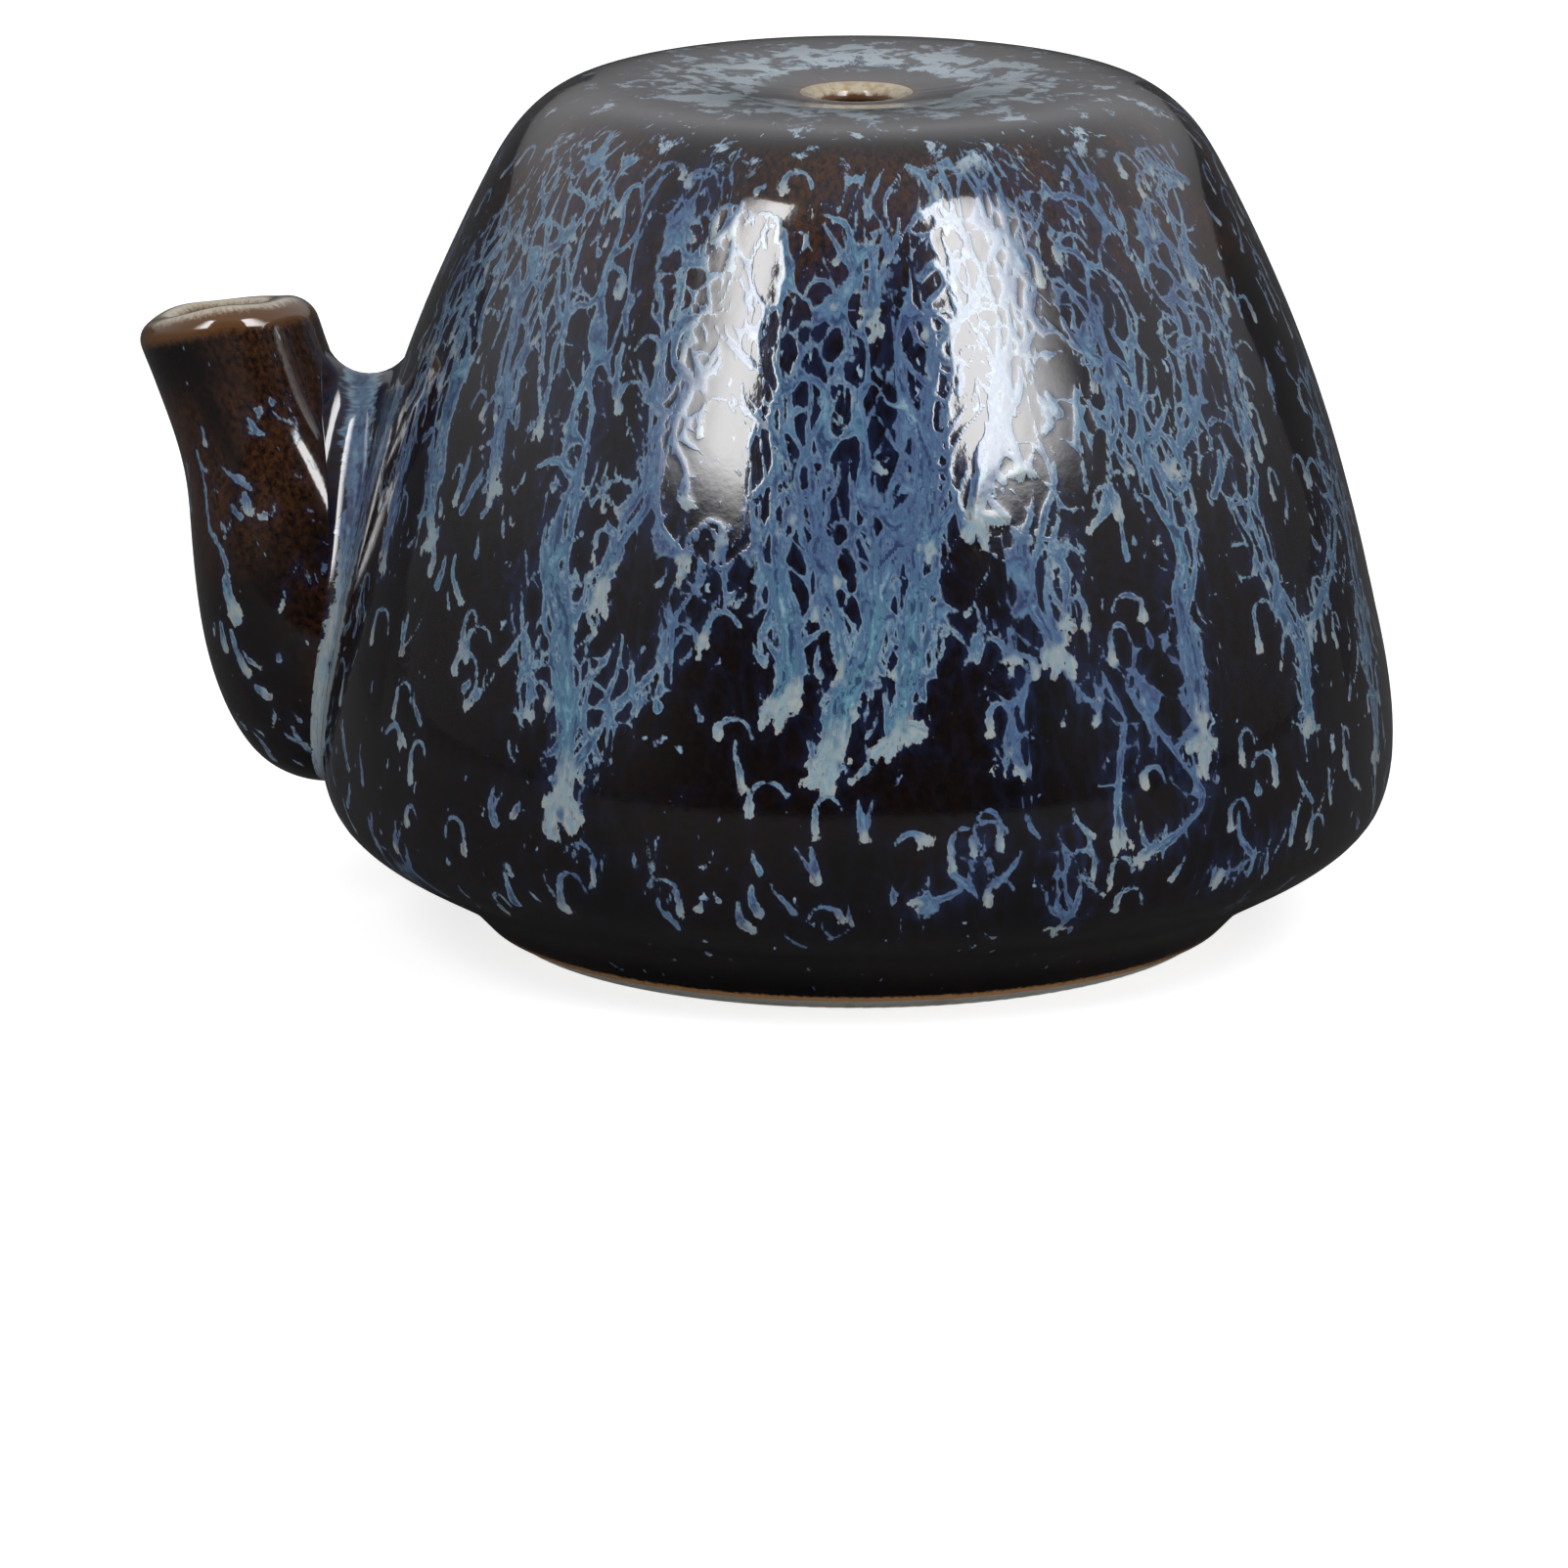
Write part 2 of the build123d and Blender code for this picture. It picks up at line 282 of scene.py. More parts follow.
def turnedTree():
    # A grid, bent round the Z axis to the outline between two shares of its length.
    tree = bpy.data.node_groups.new("turned skin", "GeometryNodeTree")
    sockets = {
        "Outline": "Object",
        "Around": "Int",
        "Down": "Int",
        "From": "Float",
        "To": "Float",
        "Seam Turn": "Float",
        "Material": "Material",
    }
    for name, kind in sockets.items():
        tree.interface.new_socket(name, in_out="INPUT", socket_type="NodeSocket" + kind)
    tree.interface.new_socket("Skin", in_out="OUTPUT", socket_type="NodeSocketGeometry")
    n = Nodes(tree)
    given = n.add("NodeGroupInput").outputs
    grid = n.add("GeometryNodeMeshGrid", {"Vertices X": given["Around"], "Vertices Y": given["Down"]})
    share = n.parts(grid.outputs["UV Map"])
    down = n.add("ShaderNodeMapRange", {"Value": share["Y"], "To Min": given["From"], "To Max": given["To"]})
    down = down.outputs["Result"]
    outline = n.add("GeometryNodeObjectInfo", {"Object": given["Outline"]}, transform_space="ORIGINAL")
    sample = n.add(
        "GeometryNodeSampleCurve",
        {"Curves": outline.outputs["Geometry"], "Factor": down},
        mode="FACTOR",
        use_all_curves=True,
    )
    place = n.parts(sample.outputs["Position"])
    turn = n.scaled(share["X"], 2 * math.pi, given["Seam Turn"])
    x = n.times(n.maths("COSINE", turn), place["X"])
    y = n.times(n.maths("SINE", turn), place["X"])
    bent = n.add("ShaderNodeCombineXYZ", {"X": x, "Y": y, "Z": place["Z"]}).outputs[0]
    skin = n.add("GeometryNodeSetPosition", {"Geometry": grid.outputs["Mesh"], "Position": bent})
    for kind, inputs in (
        ("GeometryNodeStoreNamedAttribute", {"Name": "down", "Value": down}),
        ("GeometryNodeMergeByDistance", {"Distance": 1e-6}),
        ("GeometryNodeFlipFaces", {}),
        ("GeometryNodeSetShadeSmooth", {}),
        ("GeometryNodeRealizeInstances", {}),
        ("GeometryNodeSetMaterial", {"Material": given["Material"]}),
    ):
        skin = n.add(kind, {0: skin.outputs[0], **inputs})
    n.add("NodeGroupOutput", {0: skin.outputs[0]})
    return tree


def grown(name, tree, values):
    # The plain mesh that a node tree makes from the values of its named inputs.
    made = linked(name, bpy.data.meshes.new(name))
    modifier = made.modifiers.new("nodes", "NODES")
    modifier.node_group = tree
    for item in tree.interface.items_tree:
        if item.item_type == "SOCKET" and item.in_out == "INPUT" and item.name in values:
            modifier[item.identifier] = values[item.name]
    graph = bpy.context.evaluated_depsgraph_get()
    mesh = bpy.data.meshes.new_from_object(made.evaluated_get(graph), depsgraph=graph)
    made.modifiers.remove(modifier)
    made.data = mesh
    mesh.name = name
    return made


def turnedSkin(name, outline, around, down, start=0.0, end=1.0, seam=0.0):
    values = {
        "Outline": outline,
        "Around": around,
        "Down": down,
        "From": start,
        "To": end,
        "Seam Turn": seam,
        "Material": glazeMaterial,
    }
    return grown(name, turned, values)


turned = turnedTree()
bodyCurve = outlineCurve("body outline", bodyLine)
spoutCurve = outlineCurve("spout outline", spoutLine)


def readPoints(mesh):
    # The vertices in mm.
    co = np.zeros(len(mesh.vertices) * 3, np.float32)
    mesh.vertices.foreach_get("co", co)
    return co.reshape(-1, 3).astype(float) / mm


def movePoints(mesh, p):
    mesh.vertices.foreach_set("co", (p * mm).astype(np.float32).ravel())
    mesh.update()


def readFloat(mesh, name):
    values = np.zeros(len(mesh.vertices), np.float32)
    mesh.attributes[name].data.foreach_get("value", values)
    return values.astype(float)


def write(mesh, name, values):
    kind, key = ("FLOAT", "value") if np.ndim(values) == 1 else ("FLOAT_VECTOR", "vector")
    made = mesh.attributes.new(name, kind, "POINT")
    made.data.foreach_set(key, np.ascontiguousarray(values, np.float32).ravel())


def finished(piece, slot, *nodes):
    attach(piece, "root")
    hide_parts(*nodes)
    return piece


def newMaterial(name):
    made = bpy.data.materials.new(name)
    made.use_nodes = True
    return made, Nodes(made.node_tree), made.node_tree.nodes["Principled BSDF"]


glazeLook = {
    "black": (0.0035, 0.003, 0.0035),
    "brown": (0.060, 0.024, 0.010),
    "haze": (0.013, 0.022, 0.068),
    "dots": (0.10, 0.16, 0.27),
    "deep": (0.028, 0.046, 0.110),
    "violet": (0.055, 0.076, 0.185),
    "steel": (0.088, 0.168, 0.290),
    "teal": (0.100, 0.245, 0.335),
    "pale": (0.260, 0.380, 0.450),
    "footLine": (0.80, 0.42, 0.17),
    "feather": (0.400, 0.500, 0.560),
    "cream": (0.400, 0.410, 0.370),
    "tan": (0.270, 0.200, 0.165),
    "amber": (0.120, 0.055, 0.022),
    "bareCream": (0.560, 0.490, 0.370),
}
glazeShine = {"Roughness": 0.1, "Coat Weight": 1.0, "Coat Roughness": 0.045, "Coat IOR": 1.55}


def blackGlaze():
    # Black glaze with blue runs. The vertex attributes say where the painted runs lie: edge is the
    # distance in mm inside a run, wet how near the runs are, tip how far a run has come to its end,
    # flow the place round and down the wall in mm, and course the place across and along a run.
    made, n, shader = newMaterial("black glaze with blue runs")
    look = glazeLook
    flow = n.attribute("flow", "Vector")
    course = n.attribute("course", "Vector")
    edge, wet, tip, warm, thin = (n.attribute(name) for name in ("edge", "wet", "tip", "warm", "thin"))
    down = n.parts(flow)["Z"]

    # ground: black, browner at the shoulder and in clouds
    slow = n.cloud(n.stretched(flow, 0.5), 0.12, 3)
    shoulder = n.between(down, 15.0, 18.0)
    shoulder = n.times(shoulder, n.between(down, 31.0, 23.5))
    patchy = n.between(slow, 0.30, 0.52)
    brownShare = n.maths("MAXIMUM", warm, n.scaled(shoulder, 1.0, 0.10))
    brownShare = n.times(brownShare, patchy)
    mottle = n.cloud(flow, 2.2, 3, 0.7)
    brownShare = n.times(brownShare, n.between(mottle, 0.3, 0.7))
    ground = n.blend(brownShare, look["black"], look["brown"])

    # fine stretched filaments in the haze beside the runs
    warped = n.shifted(flow, n.cloud(flow, 0.35, 2, colour=True), 3.0)
    thread = n.cloud(n.stretched(warped, 0.22), 1.6, 3, 0.6)
    hazeShare = n.times(n.between(wet, 0.15, 0.95, 0.0, 0.55), n.between(thread, 0.45, 0.75))
    beside = n.between(edge, -1.1, 0.05)
    beside = n.times(n.maths("POWER", beside, 2.8), n.between(wet, 0.15, 0.9, 0.24, 0.7))
    hazeShare = n.maths("MAXIMUM", hazeShare, n.times(beside, n.between(thread, 0.3, 0.6)))
    colour = n.blend(hazeShare, ground, look["haze"])

    # specks and short dashes
    fine = n.cloud(flow, 1.1, 2, colour=True)
    dashNoise = n.cloud(n.stretched(n.shifted(flow, fine, 0.8), 0.45), 1.35, 1.5, 0.6)
    dashPatch = n.cloud(flow, 0.16, 2)
    level = n.between(dashPatch, 0.35, 0.65, 0.035, -0.03)
    inDash = n.minus(dashNoise, n.plus(level, 0.70))
    dashShare = n.between(inDash, 0.0, 0.035)
    dashColour = n.blend(n.between(inDash, 0.01, 0.07), look["violet"], look["pale"])
    colour = n.blend(dashShare, colour, dashColour)
    dot = n.cells(flow, 1.5)
    dotSize = n.between(n.cells(flow, 1.5, output="Color"), 0.72, 1.0, 0.0, 0.17)
    dotShare = n.between(n.minus(dotSize, dot), 0.0, 0.06)
    colour = n.blend(n.times(dotShare, 0.8), colour, look["dots"])

    # painted runs
    ragged = n.cloud(n.stretched(flow, 0.6), 2.1, 3, 0.65)
    inRun = n.plus(edge, n.times(n.minus(ragged, 0.5), n.scaled(tip, 0.75, 0.42)))
    runShare = n.between(inRun, -0.03, 0.07)
    along = n.shifted(n.vectors("MULTIPLY", course, (1, 0.22, 1)), fine, 0.5)
    streak = n.cloud(along, 2.3, 2.5, 0.6)
    broad = n.between(inRun, 0.04, 0.5)
    body = n.blend(n.between(streak, 0.38, 0.60), look["violet"], look["steel"])
    body = n.blend(n.times(broad, n.between(slow, 0.36, 0.58)), body, look["teal"])
    body = n.blend(n.times(broad, n.between(streak, 0.54, 0.70)), body, look["pale"])
    dim = n.times(n.between(inRun, 0.06, 0.3), n.between(streak, 0.52, 0.40, 0.0, 0.9))
    body = n.blend(dim, body, look["deep"])
    rim = n.times(n.between(inRun, 0.17, 0.04), n.between(mottle, 0.33, 0.55))
    rim = n.times(rim, n.between(slow, 0.36, 0.56, 0.15, 0.85))
    body = n.blend(rim, body, look["pale"])
    tipShare = n.between(n.plus(tip, n.scaled(ragged, 0.5, -0.25)), 0.25, 0.8)
    ends = n.blend(n.between(streak, 0.44, 0.62), look["pale"], look["cream"])
    ends = n.blend(n.between(streak, 0.42, 0.32), ends, look["tan"])
    ends = n.blend(n.between(inRun, 0.12, 0.0), ends, look["cream"])
    body = n.blend(n.times(tipShare, 0.85), body, ends)
    colour = n.blend(runShare, colour, body)

    # crown: feathered pale patches in a ring round the air hole, clear near the hole
    place = n.place()
    plan = n.vectors("MULTIPLY", place, (1000.0, 1000.0, 0.0))
    off = n.vectors("LENGTH", plan)
    onCrown = n.times(n.between(down, 20.0, 17.0), n.between(off, 28.0, 26.0))
    feather = n.cloud(plan, 0.33, 6, 0.72, 0.5)
    grain = n.cells(n.shifted(plan, n.cloud(plan, 0.9, 2, colour=True), 1.6), 0.9)
    ring = n.times(n.between(off, 5.5, 8.0), n.between(off, 17.0, 10.5))
    inFeather = n.plus(feather, n.scaled(ring, 0.12, -0.56))
    inFeather = n.minus(inFeather, n.scaled(grain, 0.12, -0.04))
    featherShare = n.times(n.between(inFeather, -0.01, 0.03), n.between(off, 5.5, 7.5))
    featherShare = n.times(featherShare, onCrown)
    featherColour = n.blend(n.between(inFeather, 0.0, 0.07), look["steel"], look["feather"])
    colour = n.blend(featherShare, colour, featherColour)

    # amber and cream where the coat thins at the air hole and above the foot
    uneven = n.scaled(mottle, 0.5, -0.25)
    low = n.plus(n.times(n.parts(place)["Z"], 1000.0), uneven)
    colour = n.blend(n.between(low, 1.35, 1.05), colour, look["footLine"])
    thinned = n.plus(thin, n.scaled(mottle, 0.3, -0.15))
    colour = n.blend(n.between(thinned, 0.2, 0.55), colour, look["amber"])
    colour = n.blend(n.between(thinned, 0.78, 1.0), colour, look["bareCream"])
    nearHole = n.between(n.plus(off, uneven), 4.9, 4.0)
    colour = n.blend(nearHole, colour, look["amber"])
    n.feed(colour, shader.inputs["Base Color"])

    # the fired coat: nearly smooth, with a faint orange peel and a slow swell
    for name, value in glazeShine.items():
        shader.inputs[name].default_value = value
    peel = n.scaled(n.cloud(flow, 0.13, 1), 5.0, n.cloud(flow, 0.9, 3, 0.6))
    bump = n.bump(n.plus(peel, n.times(runShare, 0.5)), 0.35, 0.02 * mm)
    n.feed(bump, shader.inputs["Normal"])
    n.feed(bump, shader.inputs["Coat Normal"])
    return made


glazeMaterial = blackGlaze()

# Body skins
skinBands = {
    # name: from and to along the outline in mm, points around, points down
    "crown_skin": (0.0, 15.5, 421, 84),
    "shoulder_skin": (15.5, 28.5, 1051, 66),
    "upper_wall_skin": (28.5, 41.5, 1051, 66),
    "lower_wall_skin": (41.5, 54.5, 1051, 66),
    "belly_skin": (54.5, 67.5, 1051, 66),
    "bowl_skin": (67.5, bodyRun[-1], 1051, 60),
}
bodySkins = {}
for name, (start, end, around, down) in skinBands.items():
    shares = start / bodyRun[-1], end / bodyRun[-1]
    skin = turnedSkin(name, bodyCurve, around, down, *shares, seam=math.pi / 2)
    bodySkins[name] = finished(skin, "body_glaze", "body_glaze")
print("body skins made")

# Painted runs
paintRules = {
    "seed": 41,
    "haze": 1.3,  # mm beside a run that still feels it
    "thinLine": 0.17,
    "relief": 0.03,  # mm that a run stands up
    "freeDrips": 800,
    "arches": 280,
    "buds": 0.035,  # chances at each place of a strand that a bud or a twig grows there
    "twigs": 0.03,
    "backSystems": 15,
    "back": (98, 276),  # degrees round between which they lie
    "spoutDrips": 150,
    "spoutReach": (6, 31),  # mm below the mouth between which the spout's drips start
    "from": 19,  # mm down the outline between which arches and drips start
    "to": 70,
    "around": 207,  # mm round the wall where the random patterns are as wide as they say
    "down": 100,  # mm down that the random patterns reach
    "nets": [(3.0, 7.0, 1.0), (1.5, 3.2, 0.36)],  # width and height of the islands, share of the reach
    "sharp": 5.0,  # how sharply the nets' lines meet
    "bodyFlow": 32,  # mm from the axis at which the glaze's own patterns are true to scale
    "spoutFlow": 9,
    "lipDepth": 2.7,  # mm below the mouth over which the coat thickens
}
# main runs: degrees round from the front (towards the right) and mm down the outline from the hole, then
# strands, spread at the top and width at the end in mm
mainRuns = [
    ([(-31, 22), (-30.5, 30), (-29.3, 38.4), (-28.5, 41.9), (-29.8, 45.2), (-27.2, 48.9), (-25.5, 52.7),
      (-23.8, 56.4), (-24.2, 60), (-23.9, 61.6)], 6, 4.5, 1.5),
    ([(-8, 46), (-11.3, 49.5), (-14.4, 51.9), (-17.5, 54), (-21, 57.6), (-23.5, 60)], 3, 1.6, 0.9),
    ([(-33, 47), (-31.4, 51.9), (-29.6, 54.3), (-29.3, 56.3)], 2, 1.4, 0.5),
    ([(-47, 20), (-45, 27), (-43.2, 35.8), (-41.7, 38.4), (-40.9, 40.8), (-40.4, 42.4)], 5, 4.0, 0.9),
    ([(-40, 20.5), (-38.5, 28), (-36, 34), (-35, 38)], 4, 3.2, 0.5),
    ([(-19, 20), (-18, 25), (-17.7, 29.5), (-17.3, 34.1), (-16.8, 37.6), (-17.2, 40.9), (-18.7, 42.5),
      (-21.7, 45.9), (-22, 48.4)], 5, 3.0, 0.8),
    ([(-17, 38.5), (-16.4, 40.5), (-15.3, 43.3), (-12, 45)], 3, 1.0, 0.8),
    ([(-16, 31), (-15.2, 36.6), (-13.3, 38.7), (-12.4, 41.3)], 3, 1.6, 0.7),
    ([(-4, 26), (-3, 29), (-1.7, 32.3), (0, 36.1), (-3.1, 40.6), (-1.6, 45.1), (0.3, 48.2), (1, 51.4),
      (-0.4, 54.4)], 5, 3.2, 1.3),
    ([(17, 22), (16.5, 27), (16.3, 32.2), (15.6, 38.7), (13.1, 42.8), (10.1, 46.9), (9.6, 50.1),
      (7.4, 52.6), (5.9, 55.8), (5.2, 57.9)], 6, 3.4, 1.7),
    ([(19.5, 25), (18.9, 32.3), (16, 41.9), (15.8, 45), (14.4, 50.1), (12.6, 54.5),
      (12.4, 56.2)], 5, 2.6, 1.6),
    ([(21.5, 36), (20.8, 40.4), (18.3, 41.6), (16.2, 43.8)], 2, 1.0, 0.9),
    ([(6, 27), (4.8, 33.5), (3.1, 36.7), (1.6, 41.2), (5.2, 46.3), (6.3, 50.1), (6.9, 52.6)], 5, 3.0, 0.8),
    ([(9, 30), (8, 36), (8.8, 42), (10.5, 46)], 4, 2.4, 0.6),
    ([(32.5, 20), (32, 24), (31.4, 27.4), (28.2, 32.5), (25, 37.3), (22.6, 40.7),
      (22.3, 42.2)], 5, 3.0, 1.4),
    ([(27.5, 31), (27.1, 36.4), (28.2, 38.4), (28.3, 39.3)], 2, 1.4, 0.8),
    ([(32.5, 36), (32.3, 38.9), (29.2, 44.2), (27.6, 46.7), (30, 50), (30.3, 51.6)], 5, 3.0, 1.2),
    ([(31, 42), (32.5, 46), (31.5, 49.5)], 3, 1.8, 0.7),
    ([(43, 22), (44, 29), (44.7, 34.7), (44.9, 37.3), (46.3, 40.7), (48.7, 43.9), (49, 46.8),
      (46.9, 48.6), (47.5, 53.2), (47.3, 56.4), (47.3, 58.6)], 5, 4.0, 1.2),
    ([(59, 26), (57.7, 35), (54, 37.4), (48.9, 40.3)], 4, 3.0, 0.8),
    ([(59, 38), (60.6, 45.6), (62.2, 49.4), (66.5, 52.8), (65.6, 55.8), (64.2, 59.4)], 5, 3.2, 0.8),
    ([(88, 41), (81.5, 47), (73.5, 51), (67.5, 53.1)], 4, 2.6, 0.7),
    ([(34, 52), (35.1, 54.4), (38.5, 55.6), (36.7, 58.7), (35.7, 61.9), (36.5, 63.8)], 3, 1.6, 0.9),
    ([(38.5, 52.5), (39.7, 55.4), (43.4, 58.6), (46.3, 60.8), (46.7, 62.8), (42.8, 64.1),
      (39, 65.2)], 2, 1.0, 0.7),
    ([(90, 38), (88.5, 45.9), (84.7, 50.2), (83.1, 57.5), (80.6, 63.7)], 4, 2.6, 0.9),
    ([(-58, 27), (-57.1, 33.7), (-54.8, 38.3), (-53.6, 42.3), (-50, 46.6)], 5, 3.2, 0.8),
    ([(-66, 30), (-64, 37), (-62, 44), (-60.5, 50)], 5, 2.6, 0.6),
    ([(7.2, 21), (8.6, 25.6), (10, 28.9)], 4, 1.8, 0.7),
    ([(13.1, 22), (10.7, 26.3), (10, 28.3)], 3, 1.2, 0.6),
    ([(20.6, 64), (19.1, 66.3), (14.5, 67.2)], 2, 0.8, 0.7),
    ([(30.7, 64), (31.5, 67.6), (30.1, 70.2)], 3, 1.6, 0.6),
    ([(57.3, 66), (52.8, 67.2), (49.3, 67.5)], 2, 1.0, 0.6),
    ([(68.4, 19.8), (65.4, 24), (63.9, 29)], 4, 2.4, 0.5),
    ([(64.7, 30), (65.1, 36.4), (63, 41)], 4, 2.0, 0.5),
    ([(19.8, 50.2), (23.8, 49.4), (25.1, 51.4)], 2, 0.5, 0.6),
    ([(25.6, 53), (24.2, 55.1), (25.5, 58.5)], 2, 0.8, 0.5),
    ([(-20, 52.5), (-19, 55), (-20.5, 57)], 3, 2.2, 0.4),
]
hooks = [
    # arches that drip at one end
    [(-28.2, 21.6), (-29.4, 20.3), (-31.6, 20.7), (-31.9, 22.6)],
    [(-5, 49), (-6.5, 47.8), (-8.5, 48.3), (-9.2, 50.5)],
    [(2.2, 44), (3.3, 42.8), (5, 43.8), (5.8, 46)],
    [(12, 63), (13.4, 62), (15.2, 62.8)],
    [(-52, 60), (-50, 58.8), (-48.5, 60.2)],
]

rng = np.random.default_rng(paintRules["seed"])


def makeCanvas(line, run, start, end, around, down):
    rows = np.linspace(start, end, down)
    shape = (down, around - 1)
    canvas = {
        "s": rows,
        "r": np.interp(rows, run, line[:, 0]),
        "step": (end - start) / (down - 1),
        "cols": around - 1,
        "edge": np.full(shape, -1.5),
        "reach": np.full(shape, -1.0),
    }
    for key in ("across", "along", "mark", "tip", "wet"):
        canvas[key] = np.zeros(shape)
    return canvas


canvases = {name: makeCanvas(bodyLine, bodyRun, *band) for name, band in skinBands.items()}
openCanvases = list(canvases.values())


def eased(share):
    return share * share * (3 - 2 * share)


class Lattice:
    # Smooth random numbers from -1 to 1 over the wall, joined up round it.
    def __init__(self, width, height):
        self.columns = max(3, round(paintRules["around"] / width))
        self.height = height
        self.table = rng.uniform(-1, 1, (int(paintRules["down"] / height) + 3, self.columns))

    def at(self, turn, s):
        x = (turn % 360) / 360 * self.columns
        y = s / self.height
        i, j = np.floor(x).astype(int), np.floor(y).astype(int)
        u, v = x - i, y - j
        u, v = eased(u), eased(v)
        i, k = i % self.columns, (i + 1) % self.columns
        top = self.table[j, i] * (1 - u) + self.table[j, k] * u
        low = self.table[j + 1, i] * (1 - u) + self.table[j + 1, k] * u
        return top * (1 - v) + low * v


def windows(a, b, pad):
    # For each canvas that a short line touches: the rows and columns round it, their places in mm from
    # its start, and the line's own way in mm.
    for canvas in openCanvases:
        rows = canvas["s"]
        first = math.floor((min(a[1], b[1]) - pad - rows[0]) / canvas["step"])
        last = math.ceil((max(a[1], b[1]) + pad - rows[0]) / canvas["step"]) + 1
        first, last = max(first, 0), min(last, len(rows))
        if first >= last:
            continue
        perDegree = canvas["r"][(first + last) // 2 if last < len(rows) else first] * math.pi / 180
        degrees = 360 / canvas["cols"]
        left = math.floor((min(a[0], b[0]) - pad / perDegree - 180) / degrees)
        right = math.ceil((max(a[0], b[0]) + pad / perDegree - 180) / degrees)
        columns = np.arange(left, right + 1)
        x = (180 + columns * degrees - a[0]) * perDegree
        y = rows[first:last] - a[1]
        area = slice(first, last), columns % canvas["cols"]
        yield canvas, area, x[None, :], y[:, None], (b[0] - a[0]) * perDegree, b[1] - a[1]


def strokeSegment(a, b, radiusA, radiusB, tipA, tipB, along, mark):
    pad = max(radiusA, radiusB) + paintRules["haze"]
    for canvas, area, x, y, vx, vy in windows(a, b, pad):
        length = math.hypot(vx, vy) + 1e-9
        t = np.clip((x * vx + y * vy) / length**2, 0, 1)
        distance = np.hypot(x - t * vx, y - t * vy)
        edge = radiusA + (radiusB - radiusA) * t - distance
        better = edge > canvas["edge"][area]
        if not better.any():
            continue
        new = {
            "edge": edge,
            "across": (x * vy - y * vx) / length,
            "along": along + t * length,
            "mark": mark,
            "tip": tipA + (tipB - tipA) * t,
        }
        for key, values in new.items():
            canvas[key][area] = np.where(better, values, canvas[key][area])


def wetSegment(a, b, wide, wetWide, centre):
    # Says how far the network's lines reach to each side here: most along the line, least at wide mm.
    for canvas, area, x, y, vx, vy in windows(a, b, max(wide, wetWide) + 1):
        t = np.clip((x * vx + y * vy) / (vx * vx + vy * vy + 1e-9), 0, 1)
        distance = np.hypot(x - t * vx, y - t * vy)
        wet = np.clip(1.25 * (1 - distance / wetWide), 0, 1)
        canvas["wet"][area] = np.maximum(canvas["wet"][area], wet)
        thin = paintRules["thinLine"]
        share = np.clip(1 - distance / wide, 0, 1)
        reach = thin + (centre - thin) * share**1.1 - np.clip(distance - wide, 0, 3) * 0.35
        canvas["reach"][area] = np.maximum(canvas["reach"][area], reach)


def wiggle(count, size):
    # Smooth random numbers from -1 to 1, one for each place, that change over size places.
    knots = rng.uniform(-1, 1, max(4, int(count / size) + 3))
    at = np.arange(count) / size
    i = at.astype(int)
    f = eased(at - i)
    return knots[i] * (1 - f) + knots[i + 1] * f


painted = {"line": bodyLine, "run": bodyRun}


def radiusAt(s):
    return np.interp(s, painted["run"], painted["line"][:, 0])


def paintLine(turn, s, radius, tip):
    mark = rng.uniform(0, 40)
    along = 0.0
    for i in range(len(turn) - 1):
        a, b = (turn[i], s[i]), (turn[i + 1], s[i + 1])
        strokeSegment(a, b, radius[i], radius[i + 1], tip[i], tip[i + 1], along, mark)
        along += math.hypot((b[0] - a[0]) * math.radians(radiusAt(a[1])), b[1] - a[1])


def smoothCourse(course, spacing=0.4):
    # The course rounded off: turns, places down the outline and shares of its length.
    points = np.array(course, float)
    for _ in range(3):
        fine = np.linspace(0, len(points) - 1, len(points) * 2 - 1)
        points = np.stack([np.interp(fine, np.arange(len(points)), points[:, k]) for k in (0, 1)], axis=1)
        inner = (points[:-2] + 2 * points[1:-1] + points[2:]) / 4
        points = np.vstack([points[:1], inner, points[-1:]])
    scale = np.radians(radiusAt(points[:, 1]))
    step = np.hypot(np.diff(points[:, 0]) * scale[1:], np.diff(points[:, 1]))
    run = np.concatenate([[0], np.cumsum(step)])
    count = max(3, int(run[-1] / spacing))
    places = np.linspace(0, run[-1], count)
    turn, s = np.interp(places, run, points[:, 0]), np.interp(places, run, points[:, 1])
    return turn, s, np.linspace(0, 1, count)


def bud(turn, s, size, side=0.0):
    # A short drip with a pale round end.
    n = 5
    length = size * rng.uniform(2.0, 4.5)
    f = np.linspace(0, 1, n)
    perDegree = math.radians(radiusAt(s))
    bend = side * f * size * rng.uniform(0.6, 2.0) + 0.25 * size * wiggle(n, 2)
    radius = size * (0.35 + 0.65 * f**0.7) * (1 + 0.2 * wiggle(n, 1.5))
    paintLine(turn + bend / perDegree, s + f * length, radius, f * rng.uniform(0.5, 1.0))


def claw(turn, s, width):
    # The ragged pale end of a run: a few lobes that spread.
    perDegree = math.radians(radiusAt(s))
    lobes = int(2 + width * 2.2)
    for k in range(lobes):
        side = (k - (lobes - 1) / 2) / max(1, (lobes - 1) / 2)
        n = 6
        f = np.linspace(0, 1, n)
        length = width * rng.uniform(0.4, 1.7) * (1.15 - 0.4 * abs(side))
        bend = side * width * (0.25 + 0.6 * f) + 0.35 * width * wiggle(n, 2)
        radius = width * rng.uniform(0.2, 0.42) * (0.7 + 0.45 * np.sin(f * 3.1 + rng.uniform(-1, 1)))
        paintLine(turn + bend / perDegree, s - 0.6 * width + f * length * 1.3, radius, 0.55 + 0.45 * f)


